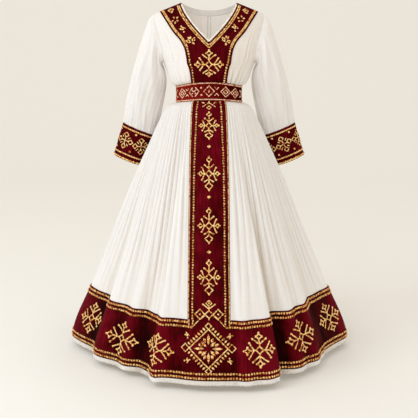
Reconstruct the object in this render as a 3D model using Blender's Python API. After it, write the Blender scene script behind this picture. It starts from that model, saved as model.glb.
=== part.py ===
"""A habesha kemis: a long white cotton dress with woven burgundy bands, in its worn form.

The origin is on the wearer's shoulders, level with the tops of the shoulder seams, midway between
them. The front faces -Y and Z is up. Each piece is a wall of cloth between a grid of points on its
outer face and the same points moved in. Rows of a grid run down the dress, and its columns run
counter-clockwise as seen from above, so that the front runs from -X to +X.
"""

import math
from collections import namedtuple

import bmesh
import bpy
import numpy as np

# ---------------------------------------------------------------- cloth, seams and borders
COTTON = 0.0015          # two layers of hand-woven cotton
BAND = 0.0012            # woven burgundy band
BELT_CLOTH = 0.0020      # stiffened belt
FACING = 0.0010
SEAM = 0.0003            # gap between neighbouring pieces
LONGEST_MITRE = 1.8      # how far a corner's way out may reach, in wall thicknesses

# ---------------------------------------------------------------- lengths down the dress
WAIST_SEAM_Z = -0.352
BELT_TOP_Z = -0.3226     # at the side seams
BELT_BOTTOM_Z = -0.3834
BELT_TOP_RISE = 0.0223   # how much higher the belt is at the centre front
BELT_BOTTOM_RISE = 0.0151
BAND_TOP_Z = -1.145
BAND_BOTTOM_Z = -1.3635
HEM_Z = -1.380

# ---------------------------------------------------------------- shoulders, neck and armholes
NECK_HALF = 0.1074
V_DEPTH = 0.1428
BACK_NECK_DEPTH = 0.027
PANEL_AT_SHOULDER = 0.1914
SHOULDER_TIP = 0.2134
SHOULDER_DROP = 0.042
SHOULDER_ROUND = 0.065   # radius that turns the shoulder from its top to its front
UNDERARM_Z = -0.228
UNDERARM_HALF = 0.180
CHEST_POWER = 2.5        # squareness of the chest in plan, where 2 is an ellipse

# ---------------------------------------------------------------- counts
NECK_COLUMNS = 4         # from the centre to the neck point
YOKE_COLUMNS = 3         # along the shoulder, to the neck panel's outer edge
SIDE_COLUMNS = 8         # from there to the armhole and the side seam
STRIPE_COLUMNS = 4       # from the centre to the stripe's edge
FRONT_COLUMNS = 36       # from the stripe's edge to the side seam, two to a gather
BACK_COLUMNS = 44        # from the side seam to the centre back
BELT_COLUMNS = 48

# A level ring of cloth: z at the side seams, its rise at the centre front, its half width, its
# front and back depths, its squareness, and the half heights of its gathers and hem folds.
Ring = namedtuple("Ring", "z rise half_width front back power gather fold")

BODICE_RINGS = (
    Ring(UNDERARM_Z, 0.0, UNDERARM_HALF, 0.122, 0.096, CHEST_POWER, 0.0000, 0),
    Ring(BELT_TOP_Z + 0.060, BELT_TOP_RISE, 0.1675, 0.125, 0.098, 2.35, 0.0012, 0),
    Ring(BELT_TOP_Z + 0.028, BELT_TOP_RISE, 0.1570, 0.122, 0.100, 2.2, 0.0020, 0),
    Ring(BELT_TOP_Z + 0.008, BELT_TOP_RISE, 0.1420, 0.112, 0.096, 2.1, 0.0014, 0),
    Ring(BELT_TOP_Z + 0.002, BELT_TOP_RISE, 0.1282, 0.1002, 0.0902, 2.0, 0.0002, 0),
    Ring(WAIST_SEAM_Z, 0.0, 0.1280, 0.1000, 0.0900, 2.0, 0.0000, 0),
)

SKIRT_RINGS = (
    Ring(WAIST_SEAM_Z, 0.0, 0.1280, 0.1000, 0.0900, 2.0, 0.0003, 0.00),
    Ring(BELT_BOTTOM_Z - 0.0015, BELT_BOTTOM_RISE, 0.1283, 0.1003, 0.0903, 2.0, 0.0004, 0.00),
    Ring(BELT_BOTTOM_Z - 0.014, BELT_BOTTOM_RISE, 0.1570, 0.127, 0.119, 2.0, 0.0016, 0.00),
    Ring(BELT_BOTTOM_Z - 0.035, 0.012, 0.1735, 0.147, 0.140, 2.0, 0.0022, 0.04),
    Ring(BELT_BOTTOM_Z - 0.075, 0.008, 0.1940, 0.168, 0.163, 2.0, 0.0027, 0.15),
    Ring(-0.540, 0.004, 0.2305, 0.205, 0.202, 2.0, 0.0034, 0.40),
    Ring(-0.700, 0.0, 0.3020, 0.270, 0.270, 2.0, 0.0044, 0.75),
    Ring(-0.920, 0.0, 0.3925, 0.359, 0.361, 2.0, 0.0042, 0.95),
    Ring(BAND_TOP_Z, 0.0, 0.4885, 0.455, 0.452, 2.0, 0.0008, 1.00),
    Ring(BAND_BOTTOM_Z, 0.0, 0.5740, 0.502, 0.512, 2.0, 0.0000, 1.00),
    Ring(HEM_Z, 0.0, 0.5760, 0.505, 0.515, 2.0, 0.0000, 1.00),
)

BELT_RINGS = (
    Ring(BELT_TOP_Z, BELT_TOP_RISE, 0.1316, 0.1036, 0.0936, 2.0, 0, 0),
    Ring(BELT_TOP_Z - 0.005, BELT_TOP_RISE, 0.1310, 0.1030, 0.0930, 2.0, 0, 0),
    Ring(BELT_BOTTOM_Z + 0.005, BELT_BOTTOM_RISE, 0.1310, 0.1030, 0.0930, 2.0, 0, 0),
    Ring(BELT_BOTTOM_Z, BELT_BOTTOM_RISE, 0.1316, 0.1036, 0.0936, 2.0, 0, 0),
)

# The hem's large folds: the angle from the centre front towards +X, and the radius there as a
# share of the ring's. The cloth turns smoothly from each row to the next, and the last row is
# followed by the first.
Fold = namedtuple("Fold", "angle share")
FOLDS = tuple(
    Fold(*row)
    for row in (
        (-180, 0.965), (-164, 1.010), (-147, 0.930), (-129, 1.000), (-111, 0.930),
        (-91, 1.000), (-70, 0.875), (-61, 0.905), (-42, 0.885), (-26, 0.885),
        (-20, 0.990), (0, 1.000), (20, 1.050), (26, 1.030), (31, 0.930),
        (42, 0.955), (60, 0.915), (67, 0.880), (90, 1.000), (110, 0.935),
        (128, 1.000), (148, 0.930), (165, 1.010),
    )
)

# Half width of the centre stripe at a height.
Width = namedtuple("Width", "z half")
STRIPE_WIDTHS = (
    Width(-0.370, 0.0600),
    Width(-0.400, 0.0655),
    Width(-0.470, 0.0695),
    Width(-0.720, 0.0750),
    Width(BAND_TOP_Z, 0.0772),
)

# Outer edge of the neck panel, from the shoulder to the belt.
PANEL_EDGE = (
    Width(-0.0333, PANEL_AT_SHOULDER),
    Width(-0.0722, 0.1647),
    Width(-0.1127, 0.1365),
    Width(-0.1413, 0.1112),
    Width(-0.1666, 0.0969),
    Width(-0.1949, 0.0891),
    Width(UNDERARM_Z, 0.0842),
    Width(-0.2650, 0.0772),
    Width(-0.3000, 0.0709),
    Width(WAIST_SEAM_Z, 0.0700),
)

# Armhole edge of the front and of the back.
ARMHOLE = (
    Width(-SHOULDER_DROP, SHOULDER_TIP),
    Width(-0.0557, 0.2140),
    Width(-0.0900, 0.2060),
    Width(-0.1331, 0.1927),
    Width(-0.1934, 0.1795),
    Width(UNDERARM_Z, UNDERARM_HALF),
)

# The chest above the underarms: half width, front depth and back depth at a height.
Chest = namedtuple("Chest", "z half_width front back")
CHEST = (
    Chest(0.000, 0.2620, 0.0450, 0.0520),
    Chest(-0.050, 0.2500, 0.0620, 0.0700),
    Chest(-0.100, 0.2400, 0.0850, 0.0840),
    Chest(-0.150, 0.2240, 0.1030, 0.0920),
    Chest(-0.200, 0.1965, 0.1170, 0.0950),
    Chest(UNDERARM_Z, UNDERARM_HALF, 0.1220, 0.0960),
)

# How far down each row of the bodice lies between its top edge and the underarm.
ROWS_TO_UNDERARM = (0.0, 0.03, 0.10, 0.22, 0.38, 0.56, 0.74, 0.89, 1.0)

# Rings of the +X sleeve: its outer and inner ends, how far back its middle lies, its half depth,
# the half height of its gathers, and how much it still has of the armhole's form.
Sleeve = namedtuple("Sleeve", "outer_x outer_z inner_x inner_z back half_depth gather armhole")
SLEEVE_RINGS = (
    Sleeve(0.2350, -0.0600, 0.1812, -0.2380, 0.000, 0.060, 0.0000, 0.55),
    Sleeve(0.2520, -0.1000, 0.1790, -0.2480, 0.002, 0.063, 0.0010, 0.20),
    Sleeve(0.2700, -0.1600, 0.1750, -0.2620, 0.005, 0.064, 0.0015, 0.0),
    Sleeve(0.2890, -0.2220, 0.1708, -0.2820, 0.010, 0.064, 0.0020, 0.0),
    Sleeve(0.3060, -0.2820, 0.1712, -0.3180, 0.018, 0.063, 0.0025, 0.0),
    Sleeve(0.3220, -0.3410, 0.1790, -0.3700, 0.032, 0.062, 0.0028, 0.0),
    Sleeve(0.3365, -0.4000, 0.1925, -0.4360, 0.050, 0.060, 0.0030, 0.0),
    Sleeve(0.3455, -0.4500, 0.2085, -0.4920, 0.066, 0.055, 0.0030, 0.0),
    Sleeve(0.3500, -0.4745, 0.2165, -0.5285, 0.075, 0.048, 0.0008, 0.0),
)
CUFF_END = Sleeve(0.3915, -0.6056, 0.2785, -0.6525, 0.085, 0.043, 0.0, 0.0)

# Colours are linear; a cloth's roughness is nearly matt.
Cloth = namedtuple("Cloth", "colour roughness metallic")
WHITE_COTTON = Cloth((0.86, 0.83, 0.78), 0.85, 0.0)
BURGUNDY_BAND = Cloth((0.13, 0.006, 0.018), 0.75, 0.0)


# ---------------------------------------------------------------- curves
def smooth(places, values, place):
    """The value at a place, on a smooth curve through a table's values."""
    places = np.asarray(places, float)
    values = np.asarray(values, float)
    slopes = np.gradient(values, places)
    place = min(max(place, places[0]), places[-1])
    i = min(int(np.searchsorted(places, place, side="right")) - 1, len(places) - 2)
    span = places[i + 1] - places[i]
    t = (place - places[i]) / span
    start = (1 + 2 * t) * (1 - t) ** 2 * values[i] + t * (1 - t) ** 2 * span * slopes[i]
    end = t * t * (3 - 2 * t) * values[i + 1] + t * t * (t - 1) * span * slopes[i + 1]
    return float(start + end)


def at_height(table, name, z):
    """A named column of a table whose rows run down the dress, read at a height."""
    depths = [-row.z for row in table]
    return smooth(depths, [getattr(row, name) for row in table], -z)


def fold_share(angle):
    """The hem's radius at an angle in radians, as a share of the plain ring's."""
    degrees = (math.degrees(angle) + 180) % 360 - 180
    rows = FOLDS + (Fold(FOLDS[0].angle + 360, FOLDS[0].share),)
    i = max(k for k in range(len(FOLDS)) if rows[k].angle <= degrees + 1e-9)
    t = (degrees - rows[i].angle) / (rows[i + 1].angle - rows[i].angle)
    ease = (1 - math.cos(math.pi * t)) / 2
    return rows[i].share + (rows[i + 1].share - rows[i].share) * ease


def squared_cosine(sine, power):
    return math.sqrt(max(0.0, 1 - abs(sine) ** power))


def ring_point(ring, angle, lift=0.0):
    """A ring's point at an angle from the centre front, moved out level by lift."""
    sine = math.sin(angle)
    ahead = math.cos(angle) > 0
    cosine = squared_cosine(sine, ring.power) * (1 if ahead else -1)
    depth = ring.front if ahead else ring.back
    share = 1 + (fold_share(angle) - 1) * ring.fold
    way = np.array((sine / ring.half_width, -cosine / depth))
    way /= np.linalg.norm(way)
    x = ring.half_width * share * sine + lift * way[0]
    y = -depth * share * cosine + lift * way[1]
    z = ring.z + ring.rise * max(0.0, math.cos(angle)) ** 2
    return (x, y, z)


def gather_lift(ring, column, columns_round=math.inf):
    """A gather's half height: a ridge on each odd column, each of its own size."""
    if column % 2 == 0:
        return -ring.gather
    return ring.gather * (0.9 + 0.3 * math.sin(2.4 * min(column, columns_round - column)))


# ---------------------------------------------------------------- sheets of cloth
def unit(vectors):
    return vectors / np.linalg.norm(vectors, axis=-1, keepdims=True)


def ways_out(points, closed=False):
    """The way out of a grid at each point, as long as a mitred corner needs for a unit wall."""
    first, second = points[:-1], points[1:]
    faces = unit(np.cross(second[:, 1:] - first[:, :-1], first[:, 1:] - second[:, :-1]))
    total = np.zeros_like(points)
    count = np.zeros(points.shape[:2] + (1,))
    for rows in (slice(0, -1), slice(1, None)):
        for columns in (slice(0, -1), slice(1, None)):
            total[rows, columns] += faces
            count[rows, columns] += 1
    if closed:
        total[:, 0] = total[:, -1] = total[:, 0] + total[:, -1]
        count[:, 0] = count[:, -1] = 2 * count[:, 0]
    return mitred(total / count)


def mitred(mean):
    """Turn the mean of the unit ways out on a corner's sides into the corner's own way out."""
    length = np.linalg.norm(mean, axis=-1, keepdims=True)
    return mean / length * np.minimum(1 / np.maximum(length, 1e-6), LONGEST_MITRE)


def level_in(ways, axis):
    """Turn ways out into a seam's plane, so that both of its pieces end in that plane."""
    ways = ways.copy()
    ways[..., axis] = 0.0
    return unit(ways)


class Sheet:
    """Points on a cloth's outer face, row by row, and the way out at each."""

    def __init__(self, points, out):
        self.points = np.asarray(points, float)
        self.out = np.asarray(out, float)

    def cut(self, rows, columns):
        return Sheet(self.points[rows, columns], self.out[rows, columns])

    def raised(self, height):
        return Sheet(self.points + self.out * height, self.out)

    def pulled_in(self, *edges):
        """Draw the named edges in by half a seam's gap, along the cloth."""
        grid = self.points.copy()
        pairs = {"top": (0, 1), "bottom": (-1, -2)}
        for edge in edges:
            flat = grid if edge in pairs else grid.transpose(1, 0, 2)
            end, beside = pairs.get(edge, (0, 1) if edge == "first" else (-1, -2))
            flat[end] += unit(flat[beside] - flat[end]) * SEAM / 2
        return Sheet(grid, self.out)


def make_wall(name, sheet, thickness, material, closed=False):
    """Build a named solid between a sheet and the same sheet moved in by its thickness."""
    outer = sheet.points
    inner = sheet.points - sheet.out * thickness
    columns = outer.shape[1] - (1 if closed else 0)
    mesh = bmesh.new()
    faces = [
        [[mesh.verts.new(point) for point in row[:columns]] for row in layer]
        for layer in (outer, inner)
    ]

    def quad(a, b, c, d):
        mesh.faces.new((a, b, c))
        mesh.faces.new((a, c, d))

    steps = range(columns if closed else columns - 1)
    out_rows, in_rows = faces
    for r in range(len(outer) - 1):
        for c in steps:
            n = (c + 1) % columns
            quad(out_rows[r][c], out_rows[r + 1][c], out_rows[r + 1][n], out_rows[r][n])
            quad(in_rows[r][c], in_rows[r][n], in_rows[r + 1][n], in_rows[r + 1][c])
    for c in steps:
        n = (c + 1) % columns
        quad(in_rows[0][c], out_rows[0][c], out_rows[0][n], in_rows[0][n])
        quad(out_rows[-1][c], in_rows[-1][c], in_rows[-1][n], out_rows[-1][n])
    if not closed:
        for r in range(len(outer) - 1):
            quad(out_rows[r][0], in_rows[r][0], in_rows[r + 1][0], out_rows[r + 1][0])
            quad(in_rows[r][-1], out_rows[r][-1], out_rows[r + 1][-1], in_rows[r + 1][-1])
    bmesh.ops.recalc_face_normals(mesh, faces=mesh.faces[:])
    data = bpy.data.meshes.new(name)
    mesh.to_mesh(data)
    mesh.free()
    data.materials.append(material)
    piece = bpy.data.objects.new(name, data)
    bpy.context.scene.collection.objects.link(piece)
    return piece


# ---------------------------------------------------------------- bodice
def shoulder_z(x):
    """Height of the shoulder line, which runs straight from the neck point to its tip."""
    return -SHOULDER_DROP * (x - NECK_HALF) / (SHOULDER_TIP - NECK_HALF)


def top_edge(column, is_front):
    """The top of a half bodice's column: along the neckline, then along the shoulder."""
    if column <= NECK_COLUMNS:
        share = column / NECK_COLUMNS
        if is_front:
            return NECK_HALF * share, -V_DEPTH * (1 - share) ** 0.93
        return NECK_HALF * share, -BACK_NECK_DEPTH * (1 - share ** 2.2)
    yoke = column - NECK_COLUMNS
    if yoke <= YOKE_COLUMNS:
        x = NECK_HALF + (PANEL_AT_SHOULDER - NECK_HALF) * yoke / YOKE_COLUMNS
    else:
        side = (yoke - YOKE_COLUMNS) / SIDE_COLUMNS
        x = PANEL_AT_SHOULDER + (SHOULDER_TIP - PANEL_AT_SHOULDER) * side
    return x, shoulder_z(x)


def chest_point(x, z, is_front):
    """The chest above the underarms, rounded over at the shoulder."""
    half_width = at_height(CHEST, "half_width", z)
    depth = at_height(CHEST, "front" if is_front else "back", z)
    below = min(1.0, max(0.0, (shoulder_z(x) - z) / SHOULDER_ROUND))
    turn = math.sqrt(1 - (1 - below) ** 2)
    y = depth * squared_cosine(x / half_width, CHEST_POWER) * turn
    return (x, -y if is_front else y, z)


def half_bodice(is_front):
    """The +X half of the front or back, from the centre to the side, as a grid."""
    panel = NECK_COLUMNS + YOKE_COLUMNS
    last = panel + SIDE_COLUMNS
    under_edge = at_height(PANEL_EDGE, "half", UNDERARM_Z)
    grid = []
    for down in ROWS_TO_UNDERARM:
        row = []
        heights = []
        for column in range(last + 1):
            top = top_edge(column, is_front)[1]
            heights.append(top + (UNDERARM_Z - top) * down)
        edge = at_height(PANEL_EDGE, "half", heights[panel])
        drawn_in = (PANEL_AT_SHOULDER - edge) / (PANEL_AT_SHOULDER - under_edge)
        inner_turn = math.asin(edge / at_height(CHEST, "half_width", heights[panel]))
        armhole = at_height(ARMHOLE, "half", heights[last])
        armhole_turn = math.asin(min(1.0, armhole / at_height(CHEST, "half_width", heights[last])))
        for column, z in enumerate(heights):
            if column <= panel:
                start = top_edge(column, is_front)[0]
                x = start + (under_edge * column / panel - start) * drawn_in
            else:
                share = (column - panel) / SIDE_COLUMNS
                turn = inner_turn + (armhole_turn - inner_turn) * share
                x = at_height(CHEST, "half_width", z) * math.sin(turn)
            row.append(chest_point(x, z, is_front))
        grid.append(row)
    for ring in BODICE_RINGS[1:]:
        row = []
        edge = at_height(PANEL_EDGE, "half", ring.z)
        inner_turn = math.asin(edge / ring.half_width)
        for column in range(last + 1):
            if column <= panel:
                turn = math.asin(edge * column / panel / ring.half_width)
            else:
                turn = inner_turn + (math.pi / 2 - inner_turn) * (column - panel) / SIDE_COLUMNS
            lift = gather_lift(ring, column - panel) if panel < column < last else 0.0
            angle = turn if is_front else math.pi - turn
            row.append(ring_point(ring, angle, lift))
        grid.append(row)
    return np.array(grid)


def mirrored(grid):
    """The same grid on the -X side, its columns turned round to keep their direction."""
    return (grid * np.array((-1.0, 1.0, 1.0)))[:, ::-1]


def bodice_sheet(is_front):
    """The whole front or back, with its edges' ways out turned into its seams."""
    half = half_bodice(is_front)
    if is_front:
        grid = np.concatenate((mirrored(half), half[:, 1:]), axis=1)
    else:
        grid = np.concatenate((half[:, ::-1], mirrored(half[:, ::-1])[:, 1:]), axis=1)
    out = ways_out(grid)
    on_shoulder = np.abs(grid[0, :, 0]) > NECK_HALF - 1e-6
    out[0, on_shoulder] = level_in(out[0, on_shoulder], 1)
    underarm = len(ROWS_TO_UNDERARM) - 1
    out[underarm:, (0, -1)] = level_in(out[underarm:, (0, -1)], 1)
    out[-1] = level_in(out[-1], 2)
    return Sheet(grid, out)


# ---------------------------------------------------------------- sleeves and cuffs
def armhole_loop(front, back):
    """The +X armhole's points and ways out, from the underarm up the front and down the back."""
    underarm = len(ROWS_TO_UNDERARM) - 1
    points = list(front.points[underarm::-1, -1]) + list(back.points[1:underarm + 1, 0])
    out = list(front.out[underarm::-1, -1]) + list(back.out[1:underarm + 1, 0])
    return np.array(points), np.array(out)


def with_midpoints(line):
    """Add the point halfway along each step of a line."""
    filled = np.empty((2 * len(line) - 1, 3))
    filled[::2] = line
    filled[1::2] = (line[1:] + line[:-1]) / 2
    return filled


def sleeve_ring(ring, turns, gathered=True):
    """A sleeve's ring: turn 0 is its outer end, and minus a half turn its inner end."""
    outer = np.array((ring.outer_x, ring.back, ring.outer_z))
    inner = np.array((ring.inner_x, ring.back, ring.inner_z))
    middle = (outer + inner) / 2
    across = (outer - inner) / 2
    half_width = np.linalg.norm(across)
    depth = np.array((0.0, ring.half_depth, 0.0))
    row = []
    for column, turn in enumerate(turns):
        lift = gather_lift(ring, column, len(turns) - 1) if gathered else 0.0
        wide = math.cos(turn) * (1 + lift / half_width)
        deep = math.sin(turn) * (1 + lift / ring.half_depth)
        row.append(middle + across * wide + depth * deep)
    return np.array(row)


def sleeve_and_cuff(front, back):
    """Sheets of the +X sleeve and cuff, and the armhole's ways out for the bodice to share."""
    loop, bodice_out = armhole_loop(front, back)
    lengths = np.linalg.norm(np.diff(loop, axis=0), axis=1)
    along = np.concatenate(([0.0], np.cumsum(lengths))) / lengths.sum()
    turns = with_midpoints(np.stack((along, along, along), axis=1))[:, 0] * 2 * math.pi - math.pi
    start = with_midpoints(loop)
    rows = [start]
    for ring in SLEEVE_RINGS:
        plain = sleeve_ring(ring, turns)
        shift = plain.mean(axis=0) - start.mean(axis=0)
        rows.append(plain * (1 - ring.armhole) + (start + shift) * ring.armhole)
    grid = np.array(rows)
    sleeve_out = ways_out(grid, closed=True)

    mean = (unit(bodice_out) + unit(sleeve_out[0, ::2])) / 2
    seam_out = mitred(mean)
    tangent = np.gradient(loop, axis=0)
    tangent[0] = tangent[-1] = (0.0, -1.0, 0.0)
    away = unit(np.cross(seam_out, tangent))
    away *= np.where(away[:, :1] < 0, -1.0, 1.0)
    grid[0] += with_midpoints(away) * SEAM * 1.3
    sleeve_out[0] = with_midpoints(seam_out)

    last = SLEEVE_RINGS[-1]
    end_ways = unit(grid[-1] - grid[-1][:-1].mean(axis=0))
    sleeve_out[-1] = end_ways
    axis = np.array((last.inner_z - last.outer_z, 0.0, last.outer_x - last.inner_x))
    axis = unit(axis) * -SEAM / 2
    sleeve_grid = grid.copy()
    sleeve_grid[-1] -= axis
    cuff_grid = np.array((sleeve_ring(last, turns) + axis, sleeve_ring(CUFF_END, turns)))
    cuff_out = np.array((end_ways, ways_out(cuff_grid, closed=True)[1]))
    return Sheet(sleeve_grid, sleeve_out), Sheet(cuff_grid, cuff_out), seam_out


def on_left(sheet):
    """The same sheet on the -X side."""
    return Sheet(mirrored(sheet.points), mirrored(sheet.out))


def share_armhole(front, back, seam_out):
    """Give the bodice's armhole edges the ways out that the sleeves' edges have."""
    underarm = len(ROWS_TO_UNDERARM) - 1
    flip = np.array((-1.0, 1.0, 1.0))
    front_out = seam_out[:underarm + 1][::-1]
    back_out = seam_out[underarm:]
    front.out[:underarm + 1, -1] = front_out
    front.out[:underarm + 1, 0] = front_out * flip
    back.out[:underarm + 1, 0] = back_out
    back.out[:underarm + 1, -1] = back_out * flip


# ---------------------------------------------------------------- skirt
def skirt_row(ring):
    """One ring of the whole skirt, from the centre back round by the front to the centre back."""
    half = at_height(STRIPE_WIDTHS, "half", ring.z)
    edge = math.asin(half / ring.half_width)
    right = []
    left = []
    for column in range(STRIPE_COLUMNS + 1):
        x = half * column / STRIPE_COLUMNS
        for side, points in ((1, right), (-1, left)):
            y, z = ring_point(ring, side * math.asin(x / ring.half_width))[1:]
            points.append((side * x, y, z))
    for column in range(1, FRONT_COLUMNS + BACK_COLUMNS + 1):
        if column <= FRONT_COLUMNS:
            angle = edge + (math.pi / 2 - edge) * column / FRONT_COLUMNS
        else:
            angle = math.pi / 2 * (1 + (column - FRONT_COLUMNS) / BACK_COLUMNS)
        lift = gather_lift(ring, column)
        right.append(ring_point(ring, angle, lift))
        left.append(ring_point(ring, -angle, lift))
    return left[:0:-1] + right


def skirt_sheet():
    grid = np.array([skirt_row(ring) for ring in SKIRT_RINGS])
    out = ways_out(grid, closed=True)
    out[0] = level_in(out[0], 2)
    return Sheet(grid, out)


def belt_sheet():
    step = 2 * math.pi / BELT_COLUMNS
    rows = [
        [ring_point(ring, step * column - math.pi) for column in range(BELT_COLUMNS + 1)]
        for ring in BELT_RINGS
    ]
    grid = np.array(rows)
    return Sheet(grid, ways_out(grid, closed=True))


# ---------------------------------------------------------------- the whole dress
def make_material(name, cloth):
    material = bpy.data.materials.new(name)
    material.use_nodes = True
    shader = material.node_tree.nodes["Principled BSDF"]
    shader.inputs["Base Color"].default_value = (*cloth.colour, 1.0)
    shader.inputs["Roughness"].default_value = cloth.roughness
    shader.inputs["Metallic"].default_value = cloth.metallic
    return material


def make_bodice(front, back, cotton, burgundy):
    centre = back.points.shape[1] // 2
    every = slice(None)
    front_piece = front.pulled_in("top", "bottom", "first", "last")
    make_wall("bodice_front", front_piece, COTTON, cotton("bodice_front"))
    for name, columns in (("right", slice(0, centre + 1)), ("left", slice(centre, None))):
        piece = back.cut(every, columns).pulled_in("top", "bottom", "first", "last")
        name = "bodice_back_" + name
        make_wall(name, piece, COTTON, cotton(name))
    neck = slice(centre - NECK_COLUMNS, centre + NECK_COLUMNS + 1)
    facing = back.cut(slice(0, 3), neck).pulled_in("first", "last").raised(-COTTON - SEAM)
    make_wall("back_neck_facing", facing, FACING, cotton("back_neck_facing"))
    middle = front.points.shape[1] // 2
    panel = NECK_COLUMNS + YOKE_COLUMNS
    rows = slice(0, len(ROWS_TO_UNDERARM) + len(BODICE_RINGS) - 2)
    panel = front.cut(rows, slice(middle - panel, middle + panel + 1))
    panel = panel.pulled_in("top").raised(SEAM + BAND)
    make_wall("neck_panel", panel, BAND, burgundy("neck_panel"))


def make_skirt(skirt, cotton, burgundy):
    centre = STRIPE_COLUMNS + FRONT_COLUMNS + BACK_COLUMNS
    quarter = STRIPE_COLUMNS + FRONT_COLUMNS
    every = slice(None)
    panels = {
        "skirt_back_left": slice(0, centre - quarter + 1),
        "skirt_front_left": slice(centre - quarter, centre + 1),
        "skirt_front_right": slice(centre, centre + quarter + 1),
        "skirt_back_right": slice(centre + quarter, None),
    }
    for name, columns in panels.items():
        piece = skirt.cut(every, columns).pulled_in("top", "first", "last")
        make_wall(name, piece, COTTON, cotton(name))
    lifted = skirt.raised(SEAM + BAND)
    band_row = [ring.z for ring in SKIRT_RINGS].index(BAND_TOP_Z)
    across = slice(centre - STRIPE_COLUMNS, centre + STRIPE_COLUMNS + 1)
    stripe = lifted.cut(slice(1, band_row + 1), across).pulled_in("bottom")
    make_wall("centre_stripe", stripe, BAND, burgundy("centre_stripe"))
    band = lifted.cut(slice(band_row, band_row + 2), every)
    front_columns = slice(centre - quarter, centre + quarter + 1)
    front = band.cut(every, front_columns).pulled_in("top", "first", "last")
    make_wall("hem_band_front", front, BAND, burgundy("hem_band_front"))
    sides = {
        "hem_band_back_left": slice(0, centre - quarter + 1),
        "hem_band_back_right": slice(centre + quarter, None),
    }
    for name, columns in sides.items():
        piece = band.cut(every, columns).pulled_in("top", "first", "last")
        make_wall(name, piece, BAND, burgundy(name))


def main():
    for piece in list(bpy.data.objects):
        bpy.data.objects.remove(piece, do_unlink=True)

    def cotton(name):
        return make_material(name + "_cotton", WHITE_COTTON)

    def burgundy(name):
        return make_material(name + "_band", BURGUNDY_BAND)

    front = bodice_sheet(is_front=True)
    back = bodice_sheet(is_front=False)
    sleeve, cuff, seam_out = sleeve_and_cuff(front, back)
    share_armhole(front, back, seam_out)
    make_bodice(front, back, cotton, burgundy)
    for side, sheets in (("right", (sleeve, cuff)), ("left", (on_left(sleeve), on_left(cuff)))):
        make_wall("sleeve_" + side, sheets[0], COTTON, cotton("sleeve_" + side), closed=True)
        make_wall("cuff_" + side, sheets[1], BELT_CLOTH, burgundy("cuff_" + side), closed=True)
    make_skirt(skirt_sheet(), cotton, burgundy)
    belt = belt_sheet().pulled_in("first", "last")
    make_wall("belt", belt, BELT_CLOTH, burgundy("belt"))


main()
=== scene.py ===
"""A habesha kemis in its finished cloth: white cotton, woven burgundy bands and gold thread.

Every sheet is a dense grid of points that follows the solid it stands for. Rows run down the
dress, and columns run counter-clockwise as seen from above, so that the front runs from -X to +X.
Stitches are copies of one small shape, laid along strokes given in charts.
"""

import math
from collections import namedtuple

import bpy
import numpy as np
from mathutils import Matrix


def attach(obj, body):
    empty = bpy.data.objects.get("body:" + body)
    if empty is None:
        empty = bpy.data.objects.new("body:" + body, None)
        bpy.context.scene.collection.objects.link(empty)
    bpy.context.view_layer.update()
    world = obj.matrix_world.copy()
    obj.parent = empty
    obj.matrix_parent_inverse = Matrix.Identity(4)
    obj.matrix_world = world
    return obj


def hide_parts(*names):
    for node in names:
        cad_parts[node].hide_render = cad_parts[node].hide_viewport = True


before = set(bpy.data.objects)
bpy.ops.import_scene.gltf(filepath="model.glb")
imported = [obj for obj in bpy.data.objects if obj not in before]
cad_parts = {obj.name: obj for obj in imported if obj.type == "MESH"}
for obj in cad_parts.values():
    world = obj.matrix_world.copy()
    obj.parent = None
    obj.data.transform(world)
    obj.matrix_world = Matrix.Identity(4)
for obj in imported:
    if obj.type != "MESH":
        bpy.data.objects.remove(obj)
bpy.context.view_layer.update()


def table(kind, *rows):
    """Rows with named columns, from a kind of row or from its columns' names."""
    kind = namedtuple("Row", kind) if isinstance(kind, str) else kind
    return tuple(kind(*row) for row in rows)


# ---------------------------------------------------------------- cloth and thread
COTTON = 0.0011
BAND = 0.0012
BELT_CLOTH = 0.0020
FACING = 0.0010
BAND_LIFT = 0.0015       # from the cotton's outer face to the band's
FACING_LIFT = -0.0018
SEAM = 0.0003

GOLD_LIFT = 0.0009       # of the gold stitches' middles over the band
BEAD = 0.0108            # width of a gold stitch in the double border lines
BEAD_PITCH = 0.0106
BEAD_DYE = 0.12          # in shares of the thread's tones
CORD = 0.0042            # width of the fine cords that edge the bands
CORD_PITCH = 0.0038
SHADOW_OUTLINE = 0.0044         # how much wider the dark thread is that lies under the gold, to edge it and paint shade round it
TOPSTITCH = 0.0015
SEAM_ALLOWANCE = 0.006
TOPSTITCH_PITCH = 0.0052


# ---------------------------------------------------------------- the dress's sizes
WAIST_SEAM_Z = -0.352
BELT_TOP_Z = -0.3226
BELT_BOTTOM_Z = -0.3834
BELT_TOP_RISE = 0.0223
BELT_BOTTOM_RISE = 0.0151
BAND_TOP_Z = -1.145
BAND_BOTTOM_Z = -1.3635
HEM_Z = -1.380
NECK_HALF = 0.1074
V_DEPTH = 0.1450
V_STRAIGHT = 0.93        # the power that the solids' V follows
V_CURVE = 0.70           # a lesser one, so that the V's sides bow outwards
BACK_NECK_DEPTH = 0.027
PANEL_AT_SHOULDER = 0.1914
SHOULDER_TIP = 0.2134
SHOULDER_DROP = 0.042
SHOULDER_ROUND = 0.065
UNDERARM_Z = -0.228
UNDERARM_HALF = 0.180
CHEST_POWER = 2.5

# The solids' columns, counted to each side from the centre front.
NECK_COLUMNS = 4
YOKE_COLUMNS = 3
SIDE_COLUMNS = 8
STRIPE_COLUMNS = 4
FRONT_COLUMNS = 36
BACK_COLUMNS = 44
PANEL_COLUMNS = NECK_COLUMNS + YOKE_COLUMNS
HALF_BODICE = PANEL_COLUMNS + SIDE_COLUMNS
QUARTER = STRIPE_COLUMNS + FRONT_COLUMNS
HALF_SKIRT = QUARTER + BACK_COLUMNS

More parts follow.
